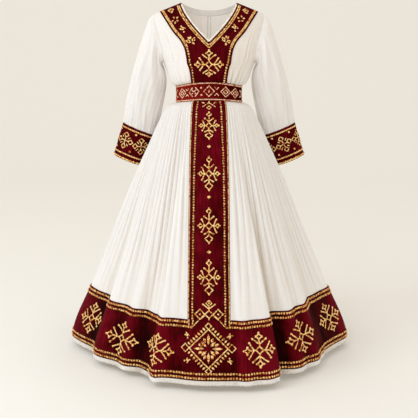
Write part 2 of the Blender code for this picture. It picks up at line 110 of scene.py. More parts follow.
Ring = namedtuple("Ring", "z rise half_width front back gather fold power", defaults=(0, 0, 2.0))
BODICE_RINGS = table(
    Ring,
    (UNDERARM_Z, 0, UNDERARM_HALF, 0.122, 0.096, 0, 0, CHEST_POWER),
    (BELT_TOP_Z + 0.060, BELT_TOP_RISE, 0.1675, 0.125, 0.098, 0, 0, 2.35),
    (BELT_TOP_Z + 0.028, BELT_TOP_RISE, 0.1570, 0.122, 0.100, 0, 0, 2.2),
    (BELT_TOP_Z + 0.008, BELT_TOP_RISE, 0.1420, 0.112, 0.096, 0, 0, 2.1),
    (BELT_TOP_Z + 0.002, BELT_TOP_RISE, 0.1282, 0.1002, 0.0902),
    (WAIST_SEAM_Z, 0, 0.1280, 0.1000, 0.0900),
)
SKIRT_RINGS = table(
    Ring,
    (WAIST_SEAM_Z, 0, 0.1280, 0.1000, 0.0900, 0.0003),
    (BELT_BOTTOM_Z - 0.0015, BELT_BOTTOM_RISE, 0.1283, 0.1003, 0.0903, 0.0004),
    (BELT_BOTTOM_Z - 0.014, BELT_BOTTOM_RISE, 0.1570, 0.127, 0.119, 0.0016),
    (BELT_BOTTOM_Z - 0.035, 0.012, 0.1735, 0.147, 0.140, 0.0022, 0.04),
    (BELT_BOTTOM_Z - 0.075, 0.008, 0.1940, 0.168, 0.163, 0.0027, 0.15),
    (-0.540, 0.004, 0.2305, 0.205, 0.202, 0.0034, 0.40),
    (-0.700, 0, 0.3020, 0.270, 0.270, 0.0044, 0.75),
    (-0.920, 0, 0.3925, 0.359, 0.361, 0.0042, 0.95),
    (BAND_TOP_Z, 0, 0.4885, 0.455, 0.452, 0.0012, 1),
    (BAND_BOTTOM_Z, 0, 0.5740, 0.502, 0.512, 0, 1),
    (HEM_Z, 0, 0.5760, 0.505, 0.515, 0, 1),
)
STRIPE_TOP_RING, BAND_TOP_RING, BAND_BOTTOM_RING = 1, 8, 9
SKIRT_STEPS = (4, 4, 5, 6, 9, 10, 12, 12, 12, 4)   # rows between one ring and the next
SKIRT_FINENESS = 5       # points to one of the solids' columns
BELT_RINGS = table(
    Ring,
    (BELT_TOP_Z, BELT_TOP_RISE, 0.1316, 0.1036, 0.0936),
    (BELT_TOP_Z - 0.005, BELT_TOP_RISE, 0.1310, 0.1030, 0.0930),
    (BELT_BOTTOM_Z + 0.005, BELT_BOTTOM_RISE, 0.1310, 0.1030, 0.0930),
    (BELT_BOTTOM_Z, BELT_BOTTOM_RISE, 0.1316, 0.1036, 0.0936),
)
BELT_STEPS = (3, 8, 3)
BELT_COLUMNS = 288
# How much painted shade darkens the belt's +X side and painted light lightens its -X side.
BELT_SHADE = 0.9

# Degrees from the centre front, and the hem's radius there as a share of the plain ring's.
FOLDS = (
    (-180, 0.965), (-164, 1.010), (-147, 0.930), (-129, 1.000), (-111, 0.930), (-91, 1.000),
    (-70, 0.875), (-61, 0.905), (-42, 0.885), (-26, 0.885), (-20, 0.990), (0, 1.000),
    (20, 1.050), (26, 1.030), (31, 0.930), (42, 0.955), (60, 0.915), (67, 0.880),
    (90, 1.000), (110, 0.935), (128, 1.000), (148, 0.930), (165, 1.010), (180, 0.965),
)
# Soft folds between the hem's large ones, which grow from the hips to the hem: degrees from the
# centre front and metres out at the hem. Each rises steeply to a crest and falls gently after it.
FLARES = (
    (-180, 0.000), (-171, 0.006), (-158, -0.005), (-152, 0.005), (-141, -0.005), (-135, 0.006),
    (-121, -0.005), (-116, 0.005), (-103, -0.005), (-97, 0.004), (-84, -0.003), (-78, 0.004),
    (-68, -0.004), (-62, 0.005), (-49, -0.005), (-43, 0.010), (-35, -0.006), (-31, 0.008),
    (-27, 0.021), (-24, 0.013), (-21, 0.001), (-12, -0.003), (-9.5, 0.000), (9.5, 0.000),
    (11.0, -0.002), (14.5, 0.006), (20, -0.004), (26, 0.006), (34.5, -0.011), (41, 0.008),
    (49.5, -0.009), (55, 0.006), (64, -0.007), (70, 0.005), (82, -0.004), (89, 0.004),
    (101, -0.005), (107, 0.006), (120, -0.005), (126, 0.005), (139, -0.005), (146, 0.006),
    (160, -0.005), (167, 0.005), (180, 0.000),
)
STRIPE_WIDTHS = table(
    "z half",
    (-0.370, 0.0600), (-0.400, 0.0655), (-0.470, 0.0695), (-0.720, 0.0750), (BAND_TOP_Z, 0.0772),
)
PANEL_EDGE = table(
    "z half",
    (-0.0333, PANEL_AT_SHOULDER), (-0.0722, 0.1647), (-0.1127, 0.1365), (-0.1413, 0.1112),
    (-0.1666, 0.0969), (-0.1949, 0.0891), (UNDERARM_Z, 0.0842), (-0.2650, 0.0772),
    (-0.3000, 0.0709), (WAIST_SEAM_Z, 0.0700),
)
ARMHOLE = table(
    "z half",
    (-SHOULDER_DROP, SHOULDER_TIP), (-0.0557, 0.2140), (-0.0900, 0.2060), (-0.1331, 0.1927),
    (-0.1934, 0.1795), (UNDERARM_Z, UNDERARM_HALF),
)
CHEST = table(
    "z half_width front back",
    (0.000, 0.2620, 0.0450, 0.0520), (-0.050, 0.2500, 0.0620, 0.0700),
    (-0.100, 0.2400, 0.0850, 0.0840), (-0.150, 0.2240, 0.1030, 0.0920),
    (-0.200, 0.1965, 0.1170, 0.0950), (UNDERARM_Z, UNDERARM_HALF, 0.1220, 0.0960),
)
CHEST_ROWS = 44          # from the neckline and shoulders to the underarms
FACING_ROWS = 9
BODICE_STEPS = (8, 8, 8, 4, 5)
BODICE_SHADE = 0.65      # how much painted shade darkens the +X side

# A crease runs down the bodice between two places, each a column as the solids count them and a
# share of the way from the shoulder to the belt. It is a ridge where its height is positive.
CREASE = "top_column top bottom_column bottom width height"
FRONT_CREASES = table(
    CREASE,
    (8.2, 0.18, 7.6, 0.97, 0.0055, 0.0042), (9.4, 0.12, 8.5, 0.95, 0.0060, -0.0030),
    (10.2, 0.20, 9.3, 0.99, 0.0050, 0.0050), (11.4, 0.16, 10.2, 0.96, 0.0060, -0.0032),
    (12.2, 0.26, 10.9, 0.99, 0.0052, 0.0045), (13.2, 0.30, 11.9, 0.97, 0.0058, -0.0030),
    (13.9, 0.42, 12.8, 0.99, 0.0050, 0.0042), (14.5, 0.50, 13.7, 0.97, 0.0050, -0.0028),
    (8.9, 0.66, 8.1, 1.00, 0.0032, 0.0030), (10.9, 0.70, 9.9, 1.00, 0.0030, 0.0034),
    (12.6, 0.72, 11.5, 1.00, 0.0030, 0.0032), (14.2, 0.74, 13.3, 1.00, 0.0030, 0.0030),
)
BACK_CREASES = table(
    CREASE,
    (1.0, 0.42, 0.7, 0.98, 0.0060, 0.0040), (2.6, 0.55, 2.0, 1.00, 0.0045, 0.0042),
    (4.3, 0.35, 3.6, 0.97, 0.0062, -0.0030), (5.6, 0.46, 4.8, 1.00, 0.0050, 0.0044),
    (7.2, 0.24, 6.5, 0.96, 0.0060, 0.0038), (8.6, 0.20, 7.9, 0.98, 0.0060, -0.0030),
    (9.9, 0.30, 9.2, 1.00, 0.0050, 0.0044), (11.6, 0.28, 10.6, 0.97, 0.0056, -0.0028),
    (12.7, 0.40, 11.8, 1.00, 0.0050, 0.0040), (14.0, 0.46, 13.2, 0.98, 0.0050, 0.0034),
)

*SLEEVE_RINGS, CUFF_END = table(
    "outer_x outer_z inner_x inner_z back half_depth gather armhole",
    (0.2350, -0.0600, 0.1812, -0.2380, 0.000, 0.060, 0.0000, 0.55),
    (0.2520, -0.1000, 0.1790, -0.2480, 0.002, 0.063, 0.0010, 0.20),
    (0.2700, -0.1600, 0.1750, -0.2620, 0.005, 0.064, 0.0015, 0),
    (0.2890, -0.2220, 0.1708, -0.2820, 0.010, 0.064, 0.0020, 0),
    (0.3060, -0.2820, 0.1712, -0.3180, 0.018, 0.063, 0.0025, 0),
    (0.3220, -0.3410, 0.1790, -0.3700, 0.032, 0.062, 0.0028, 0),
    (0.3365, -0.4000, 0.1925, -0.4360, 0.050, 0.060, 0.0030, 0),
    (0.3455, -0.4500, 0.2085, -0.4920, 0.066, 0.055, 0.0030, 0),
    (0.3500, -0.4745, 0.2165, -0.5285, 0.075, 0.048, 0.0008, 0),
    (0.3915, -0.6056, 0.2785, -0.6525, 0.085, 0.043, 0, 0),
)
SLEEVE_COLUMNS = 144
SLEEVE_GATHERS = 16
SLEEVE_STEPS = (6, 6, 7, 7, 7, 7, 8, 8, 6)
CUFF_ROWS = 15
# Soft folds that cross the sleeve: where they start and end along it and round it, in turns.
SLEEVE_FOLDS = table(
    "top top_turn bottom bottom_turn width height",
    (0.06, -0.22, 0.66, -0.30, 0.026, 0.0064), (0.02, -0.29, 0.58, -0.36, 0.024, -0.0052),
    (0.20, -0.13, 0.88, -0.20, 0.026, 0.0056), (0.40, -0.34, 0.94, -0.27, 0.024, 0.0052),
    (0.26, -0.07, 0.92, -0.12, 0.024, -0.0048), (0.06, 0.08, 0.60, 0.03, 0.032, 0.0036),
    (0.35, 0.14, 0.95, 0.10, 0.028, 0.0042), (0.12, 0.24, 0.70, 0.20, 0.030, -0.0030),
    (0.28, 0.33, 0.90, 0.29, 0.028, 0.0040), (0.08, 0.42, 0.55, 0.38, 0.030, 0.0034),
)


# ---------------------------------------------------------------- curves and grids
def unit(vectors):
    return vectors / np.maximum(np.linalg.norm(vectors, axis=-1, keepdims=True), 1e-12)


def between(places, values, at):
    """Values, or whole rows of points, at new places on smooth curves through a table's."""
    places = np.asarray(places, float)
    values = np.asarray(values, float)
    at = np.clip(np.asarray(at, float), places[0], places[-1])
    slopes = np.gradient(values, places, axis=0)
    i = np.clip(np.searchsorted(places, at, side="right") - 1, 0, len(places) - 2)
    span = places[i + 1] - places[i]
    t = (at - places[i]) / span
    if values.ndim > 1:
        span = span.reshape(span.shape + (1,) * (values.ndim - 1))
        t = t.reshape(span.shape)
    start = (1 + 2 * t) * (1 - t) ** 2 * values[i] + t * (1 - t) ** 2 * span * slopes[i]
    end = t * t * (3 - 2 * t) * values[i + 1] + t * t * (t - 1) * span * slopes[i + 1]
    return start + end


def at_height(rows, name, z):
    """A named column of a table whose rows run down the dress, read at heights."""
    return between([-row.z for row in rows], [getattr(row, name) for row in rows], -z)


def steps_between(places, steps):
    """Places that run through all the given ones, with so many steps from each to the next."""
    runs = [
        np.linspace(start, end, count, endpoint=False)
        for start, end, count in zip(places[:-1], places[1:], steps)
    ]
    return np.concatenate(runs + [places[-1:]])


def lengths_along(points):
    """The length along a line of points, up to each."""
    return np.concatenate(([0.0], np.cumsum(np.linalg.norm(np.diff(points, axis=0), axis=1))))


def read_along(at, run, points):
    """Points at lengths along a line of points."""
    return np.stack([np.interp(at, run, part) for part in points.T], axis=-1)


def ease(t):
    t = np.clip(t, 0.0, 1.0)
    return t * t * (3 - 2 * t)


class Cloth:
    """A sheet as a grid of points on its outer face, with the way out at each."""

    def __init__(self, points, closed=False, out=None, hollow=None):
        self.points = np.asarray(points, float)
        self.closed = closed
        self.out = self.ways_out() if out is None else out
        self.hollow = np.zeros(self.points.shape[:2]) if hollow is None else hollow

    def ways_out(self):
        points = self.points
        if self.closed:
            points = np.concatenate((points[:, -2:-1], points, points[:, 1:2]), axis=1)
        down = np.gradient(points, axis=0)
        across = np.gradient(points, axis=1)
        out = unit(np.cross(down, across))
        return out[:, 1:-1] if self.closed else out

    def cut(self, rows, columns, closed=False):
        place = (rows, columns)
        return Cloth(self.points[place], closed, self.out[place], self.hollow[place])

    def depth_below(self, reach):
        """How far each point lies under the mean of so many columns to either side of it."""
        if self.closed:
            before, after = self.points[:, -1 - reach:-1], self.points[:, 1:1 + reach]
        else:
            before = np.repeat(self.points[:, :1], reach, axis=1)
            after = np.repeat(self.points[:, -1:], reach, axis=1)
        line = np.concatenate((before[:, :1] * 0, before, self.points, after), axis=1)
        sums = np.cumsum(line, axis=1)
        mean = (sums[:, 2 * reach + 1:] - sums[:, :-2 * reach - 1]) / (2 * reach + 1)
        depth = ((mean - self.points) * self.out).sum(axis=2)
        return depth - np.median(depth, axis=1, keepdims=True)

    def with_painted_shade(self, *scales):
        """Paint shade into the hollows, where less light comes, and light onto the crests: each
        scale has its reach, depth and share.
        """
        self.hollow = np.zeros(self.points.shape[:2])
        for reach, depth, share in scales:
            self.hollow += np.clip(self.depth_below(reach) / depth, -0.5, 1) * share
        return self

    def raised(self, lift):
        """The same sheet moved out, by one height or by one for each point."""
        lift = np.asarray(lift, float)
        return Cloth(self.points + self.out * lift.reshape(lift.shape + (1,)), self.closed)

    def inner_face(self, depth):
        return Cloth(self.points - self.out * depth, out=-self.out)

    def panel(self, first, last):
        """The columns from one to another, each side drawn in by half a seam's gap."""
        panel = self.cut(slice(None), slice(first, last + 1))
        points = panel.points.copy()
        points[:, 0] += unit(points[:, 1] - points[:, 0]) * SEAM / 2
        points[:, -1] += unit(points[:, -2] - points[:, -1]) * SEAM / 2
        return Cloth(points, False, panel.out, panel.hollow)

    def ruled(self, row, column):
        """Measure the cloth along one row and one column, from where they cross and the top."""
        across = lengths_along(self.points[row])
        self.across = across - across[column]
        self.down = lengths_along(self.points[:, column])
        return self

    def on(self, places):
        """Points and ways out at flat places, each across and down in metres."""
        places = np.asarray(places, float)
        across, down = places[..., 0], places[..., 1]
        if self.closed:
            across = (across - self.across[0]) % np.ptp(self.across) + self.across[0]
        rows = np.interp(down, self.down, np.arange(len(self.down)))
        columns = np.interp(across, self.across, np.arange(len(self.across)))
        r = np.minimum(rows.astype(int), len(self.down) - 2)
        c = np.minimum(columns.astype(int), len(self.across) - 2)
        down = (rows - r)[..., None]
        along = (columns - c)[..., None]

        def blend(grid):
            upper = grid[r, c] * (1 - along) + grid[r, c + 1] * along
            lower = grid[r + 1, c] * (1 - along) + grid[r + 1, c + 1] * along
            return upper * (1 - down) + lower * down

        return blend(self.points), unit(blend(self.out))

    def nearest(self, points):
        """The cloth's own points nearest to some points in space, and the ways out there."""
        grid, out = (part.reshape(-1, 3) for part in (self.points, self.out))
        found, ways = [], []
        for some in np.array_split(points, len(points) // 200 + 1):
            best = ((some[:, None] - grid) ** 2).sum(axis=2).argmin(axis=1)
            away = ((some - grid[best]) * out[best]).sum(axis=1, keepdims=True)
            found.append(some - out[best] * away)
            ways.append(out[best])
        return np.concatenate(found), np.concatenate(ways)

    def flat_size(self):
        """Width, length and area that the cloth has when its gathers are laid out flat."""
        across = np.linalg.norm(np.diff(self.points, axis=1), axis=2)
        down = np.linalg.norm(np.diff(self.points, axis=0), axis=2)
        width = across.sum(axis=1).max()
        length = down.sum(axis=0).max()
        first = self.points[1:, 1:] - self.points[:-1, :-1]
        second = self.points[1:, :-1] - self.points[:-1, 1:]
        area = np.linalg.norm(np.cross(first, second), axis=2).sum() / 2
        return float(width), float(length), float(area)


class Path:
    """A line in space with the way out along it. Its flat places run along it and to its side."""

    def __init__(self, points, ways):
        self.points = np.asarray(points, float)
        self.ways = np.asarray(ways, float)
        self.run = lengths_along(self.points)
        self.ahead = np.gradient(self.points, axis=0)

    def on(self, places):
        """Points and ways out at flat places, where aside is to the left as seen from outside."""
        along, aside = np.split(np.asarray(places, float), 2, axis=-1)
        parts = (self.points, self.ways, self.ahead)
        points, ways, ahead = (read_along(along[..., 0], self.run, part) for part in parts)
        ways = unit(ways)
        return points + unit(np.cross(ways, ahead)) * aside, ways

    def whole(self, start=0.0, end=0.0):
        """The line itself in its own flat places, cut short at its ends."""
        return ((start, 0.0), (self.run[-1] - end, 0.0))

    def moved_aside(self, distance, cloth):
        """A path that keeps a distance to the left of this one, on the same cloth."""
        places = np.stack((self.run, np.full(len(self.run), distance)), axis=1)
        return Path(*cloth.nearest(self.on(places)[0]))


def edge_path(cloth, edge, inset=0.0):
    """A path along one edge of a cloth, at a distance in from it along the rows or columns."""
    grid, out = cloth.points, cloth.out
    if edge in ("first", "last"):
        grid, out = grid.swapaxes(0, 1), out.swapaxes(0, 1)
    if edge in ("bottom", "last"):
        grid, out = grid[::-1], out[::-1]
    points, ways = [], []
    for column, reach in enumerate(np.broadcast_to(inset, grid.shape[1])):
        run = lengths_along(grid[:, column])
        points.append(read_along(reach, run, grid[:, column]))
        ways.append(read_along(reach, run, out[:, column]))
    return Path(points, unit(np.array(ways)))


# ---------------------------------------------------------------- finishes
class Link:
    """A socket's value in a Python expression, which adds the Math nodes that it needs."""

    def __init__(self, finish, socket):
        self.finish = finish
        self.socket = socket

    def __add__(self, other):
        return self.finish.maths("ADD", self, other)

    def __sub__(self, other):
        return self.finish.maths("SUBTRACT", self, other)

    def __rsub__(self, other):
        return self.finish.maths("SUBTRACT", other, self)

    def __mul__(self, other):
        return self.finish.maths("MULTIPLY", self, other)

    __radd__ = __add__
    __rmul__ = __mul__


class Finish:
    """A material of one shader, with one way to add any node to it."""

    def __init__(self, name, **values):
        self.material = bpy.data.materials.new(name)
        self.material.use_nodes = True
        self.tree = self.material.node_tree
        self.shader = self.tree.nodes["Principled BSDF"]
        for socket, value in values.items():
            self.socket(socket).default_value = value

    def socket(self, name):
        return self.shader.inputs[name.replace("_", " ")]

    def node(self, kind, settings, sockets, output=0):
        """Add a node, set it up, fill its sockets with values or links, and give its output."""
        node = self.tree.nodes.new(kind)
        for name, value in settings.items():
            if name == "stops":
                self.set_stops(node.color_ramp, value)
            else:
                setattr(node, name, value)
        for name, value in sockets.items():
            if isinstance(value, Link):
                self.tree.links.new(value.socket, node.inputs[name])
            else:
                node.inputs[name].default_value = value
        return Link(self, node.outputs[output])

    def set_stops(self, ramp, stops):
        while len(ramp.elements) < len(stops):
            ramp.elements.new(1.0)
        for element, (place, colour) in zip(ramp.elements, stops):
            element.position = place
            element.color = (*colour, 1.0)

    def maths(self, operation, *values):
        return self.node("ShaderNodeMath", {"operation": operation}, dict(enumerate(values)))

    def wave(self, place, length):
        """A sine wave of a length."""
        return self.maths("SINE", place * (2 * math.pi / length))

    def noise(self, place, scale, detail=2.0, roughness=0.5):
        """Noise at a place. Two scales in place of one stretch it across and down the cloth."""
        if isinstance(scale, tuple):
            place = self.node("ShaderNodeMapping", {}, {"Vector": place, "Scale": (*scale, 1.0)})
            scale = 1.0
        sockets = {"Vector": place, "Scale": scale, "Detail": detail, "Roughness": roughness}
        return self.node("ShaderNodeTexNoise", {}, sockets)

    def flat_place(self):
        """Where on the flat cloth a point lies, across and down in metres."""
        return self.node("ShaderNodeUVMap", {"uv_map": "flat"}, {})

    def hollow(self):
        """Painted shade on a cloth: above zero in its hollows, and below on its crests, which it
        lightens as painted light. On a thread it is the thread's dye.
        """
        return self.node("ShaderNodeAttribute", {"attribute_name": "hollow"}, {}, output=2)

    def parts_of(self, place):
        first = self.node("ShaderNodeSeparateXYZ", {}, {"Vector": place})
        return first, Link(self, first.socket.node.outputs[1])

    def ramp(self, value, places, colours):
        settings = {"stops": tuple(zip(places, colours))}
        return self.node("ShaderNodeValToRGB", settings, {"Fac": value})

    def feed(self, height, distance, strength, **links):
        """Connect the shader's links, and its bumps from a height."""
        sockets = {"Height": height, "Distance": distance, "Strength": strength}
        links["Normal"] = self.node("ShaderNodeBump", {}, sockets)
        for socket, link in links.items():
            self.tree.links.new(link.socket, self.socket(socket))
        return self.material


def woven(finish, place, warp_width, weft_width):
    """The height of a plain weave, where warp and weft cross over and under each other."""
    across, down = finish.parts_of(place)
    warp = finish.wave(across, warp_width)
    weft = finish.wave(down, weft_width)
    return warp * weft + (warp + weft) * 0.35


# The cotton's tones from dark to light: painted shade takes its hollows and pleats towards the
# first, painted light its crests towards the last.
COTTON_TONES = (
    (0.490, 0.435, 0.378), (0.694, 0.662, 0.634), (0.781, 0.769, 0.768), (0.820, 0.818, 0.828),
)


def white_cotton():
    # The faint warm glow is painted light, which lifts the cotton's shade as light through the
    # gauze would.
    finish = Finish(
        "white_cotton", Roughness=0.85, Specular_IOR_Level=0.10,
        Subsurface_Weight=0.6, Subsurface_Scale=0.0025, Subsurface_Radius=(1.0, 0.9, 0.75),
        Emission_Color=(1.0, 0.84, 0.66, 1.0), Emission_Strength=0.05,
    )
    place = finish.flat_place()
    slubs = finish.noise(place, (900.0, 14.0)) + finish.noise(place, (11.0, 700.0))
    # Fine pleats, as bumps and as painted shade in the colour; painted shade also darkens the
    # hollows.
    pleat_bumps_and_shade = finish.noise(place, (130.0, 0.9), 3.0, 0.7)
    tone = slubs * 0.15 + pleat_bumps_and_shade * 0.45 - finish.hollow() * 0.20
    colour = finish.ramp(tone, (0.02, 0.22, 0.38, 0.55), COTTON_TONES)
    height = woven(finish, place, 0.0016, 0.0016) * 0.25 + slubs * 0.8 + pleat_bumps_and_shade * 4.0
    rough = slubs * 0.16 + 0.70
    return finish.feed(height, 0.00022, 0.6, Base_Color=colour, Roughness=rough)


# Four dyes of a band's cloth from dark to light: painted shade takes its hollows towards the first,
# painted light its crests towards the last.
BAND_DYES = {
    "burgundy_band": (
        (0.012, 0.0002, 0.0003), (0.040, 0.0003, 0.0009),
        (0.084, 0.0006, 0.0032), (0.150, 0.0024, 0.0095),
    ),
    "russet_belt": (
        (0.024, 0.0003, 0.0004), (0.078, 0.0010, 0.0010),
        (0.140, 0.0030, 0.0026), (0.230, 0.0090, 0.0060),
    ),
}


def dyed_band(name, dyes):
    """Coloured cloth with warp streaks, and painted shade in its hollows."""
    finish = Finish(name, Roughness=0.85, Specular_IOR_Level=0.02)
    place = finish.flat_place()
    streaks = finish.noise(place, (170.0, 16.0), 3.0)
    threads = finish.noise(place, (30.0, 900.0))
    cloud = finish.noise(place, 14.0)
    tone = streaks * 0.62 + threads * 0.25 + cloud * 0.55 - finish.hollow() * 0.35 - 0.16
    colour = finish.ramp(tone, (0.22, 0.42, 0.58, 0.78), dyes)
    height = woven(finish, place, 0.0022, 0.0011) * 0.5 + threads * 0.6
    rough = threads * 0.2 + 0.56
    return finish.feed(height, 0.0003, 0.7, Base_Color=colour, Roughness=rough)


# Four tones of a thread from dark to bright, how metallic and rough it is, the length of one turn
# of its twist, and its glow, which is painted light.
THREADS = {
    "gold_thread": (
        ((0.200, 0.034, 0.004), (0.640, 0.185, 0.022), (1.000, 0.475, 0.100),
         (1.000, 0.780, 0.380)), 0.10, 0.42, 0.0030, 0.08,
    ),
    "rose_gold_thread": (
        ((0.220, 0.030, 0.010), (0.640, 0.150, 0.055), (1.000, 0.410, 0.210),
         (1.000, 0.690, 0.500)), 0.10, 0.45, 0.0030, 0.10,
    ),
    "cream_cord": (
        ((0.74, 0.62, 0.48), (0.88, 0.80, 0.68), (0.95, 0.91, 0.84),
         (0.97, 0.95, 0.90)), 0.0, 0.50, 0.0024, 0.08,
    ),
    "white_thread": (
        ((0.66, 0.62, 0.56), (0.80, 0.77, 0.72), (0.88, 0.86, 0.82),
         (0.93, 0.92, 0.89)), 0.0, 0.60, 0.0016, 0.0,
    ),
    # Dark thread under the gold, which edges it and paints shade round it.
    "shadow_outline_thread": (
        ((0.012, 0.0002, 0.0003), (0.022, 0.0005, 0.0005), (0.040, 0.0012, 0.0010),
         (0.060, 0.0020, 0.0016)), 0.0, 0.80, 0.0030, 0.0,
    ),
}


def twisted_thread(name, tones, metallic, roughness, twist, glow):
    """Thread that turns from one stitch to the next, with painted shade to the sides of each stitch
    and a faint glow that is painted light.
    """
    finish = Finish(
        name, Roughness=roughness, Metallic=metallic, Specular_IOR_Level=0.15,
        Emission_Strength=glow,
    )
    along, aside = finish.parts_of(finish.flat_place())
    here = finish.node("ShaderNodeTexCoord", {}, {}, output=3)
    patch = finish.noise(here, 160.0, 2.0, 0.6)
    strand = finish.maths("SINE", along * (2 * math.pi / twist) + aside * (2 * math.pi))
    # Painted shade darkens each stitch to its sides.
    side_shade = aside * aside
    tone = patch * 2.1 + strand * 0.10 - side_shade * 0.6 - finish.hollow() - 0.56
    colour = finish.ramp(tone, (0.16, 0.30, 0.42, 0.56), tones)
    rough = patch * 0.25 + (roughness - 0.12)
    return finish.feed(
        strand, 0.0004, 0.8, Base_Color=colour, Emission_Color=colour, Roughness=rough
    )


# ---------------------------------------------------------------- pieces from grids
def apply_modifier(piece, modifier):
    bpy.ops.object.select_all(action="DESELECT")
    piece.select_set(True)
    bpy.context.view_layer.objects.active = piece
    bpy.ops.object.modifier_apply(modifier=modifier.name)


def new_piece(name, points, faces, flat, material, hollow=None):
    """A mesh piece with its flat places as a UV map, one for each corner of its faces."""
    mesh = bpy.data.meshes.new(name)
    mesh.vertices.add(len(points))
    mesh.vertices.foreach_set("co", np.asarray(points, np.float32).ravel())
    mesh.loops.add(faces.size)
    mesh.loops.foreach_set("vertex_index", faces.astype(np.int32).ravel())
    mesh.polygons.add(len(faces))
    starts = np.arange(len(faces), dtype=np.int32) * faces.shape[1]
    mesh.polygons.foreach_set("loop_start", starts)
    mesh.update(calc_edges=True)
    layer = mesh.uv_layers.new(name="flat")
    layer.data.foreach_set("uv", np.asarray(flat, np.float32).ravel())
    # The mark on each point: painted shade on a cloth, dye on a thread.
    if hollow is not None:
        marks = mesh.attributes.new("hollow", "FLOAT", "POINT")
        marks.data.foreach_set("value", hollow.astype(np.float32).ravel())
    mesh.polygons.foreach_set("use_smooth", np.ones(len(faces), bool))
    mesh.materials.append(material)
    piece = bpy.data.objects.new(name, mesh)
    bpy.context.scene.collection.objects.link(piece)
    return piece


def grid_piece(name, cloth, material):
    """A cloth's outer face alone."""
    rows, columns = cloth.points.shape[:2]
    across = lengths_along(cloth.points[rows // 2])
    down = lengths_along(cloth.points[:, columns // 2])
    kept = columns - 1 if cloth.closed else columns
    r, c = np.mgrid[:rows - 1, :columns - 1].reshape(2, -1, 1)
    r = r + (0, 1, 1, 0)
    c = c + (0, 0, 1, 1)
    faces = r * kept + c % kept
    flat = np.stack((across[c], down[r]), axis=-1)
    points = cloth.points[:, :kept].reshape(-1, 3)
    return new_piece(name, points, faces, flat, material, cloth.hollow[:, :kept])


def make_shell(name, cloth, thickness, material):
    """A thin wall of cloth, from its outer face in."""
    piece = grid_piece(name, cloth, material)
    solidify = piece.modifiers.new("thickness", "SOLIDIFY")
    solidify.thickness = thickness
    solidify.offset = -1.0
    apply_modifier(piece, solidify)
    return piece


# ---------------------------------------------------------------- stitches
def stitch_shape(segments, rings):
    """One stitch, a unit long, wide and high along X, Y and Z, that the thread pieces repeat."""
    bpy.ops.object.select_all(action="DESELECT")
    bpy.ops.mesh.primitive_uv_sphere_add(segments=segments, ring_count=rings, radius=0.5)
    piece = bpy.context.object
    bpy.ops.object.mode_set(mode="EDIT")
    bpy.ops.mesh.select_all(action="SELECT")
    bpy.ops.transform.rotate(value=math.pi / 2, orient_axis="Y", center_override=(0, 0, 0))
    bpy.ops.mesh.quads_convert_to_tris()
    bpy.ops.object.mode_set(mode="OBJECT")
    mesh = piece.data
    points = np.array([vertex.co[:] for vertex in mesh.vertices])
    faces = np.array([face.vertices[:] for face in mesh.polygons])
    bpy.data.objects.remove(piece, do_unlink=True)
    return points, faces


def split_line(line, pitch, length, slant=0.0):
    """Starts and ends of stitches evenly along a flat line, each turned out by its slant."""
    line = np.asarray(line, float)
    run = lengths_along(line)
    count = max(1, round(run[-1] / pitch))
    step = run[-1] / count
    half = step * length / pitch / 2
    middle = (np.arange(count) + 0.5) * step
    ends = (read_along(middle + reach, run, line) for reach in (step * 0.3, -step * 0.3))
    ahead = unit(np.subtract(*ends))
    side = ahead[:, ::-1] * np.array((-1.0, 1.0))
    centre = read_along(middle, run, line)
    reach = ahead * half + side * slant
    return centre - reach, centre + reach


def rotation(angle):
    """Turns chart points counter-clockwise when they are multiplied by it."""
    return np.array(((math.cos(angle), math.sin(angle)), (-math.sin(angle), math.cos(angle))))


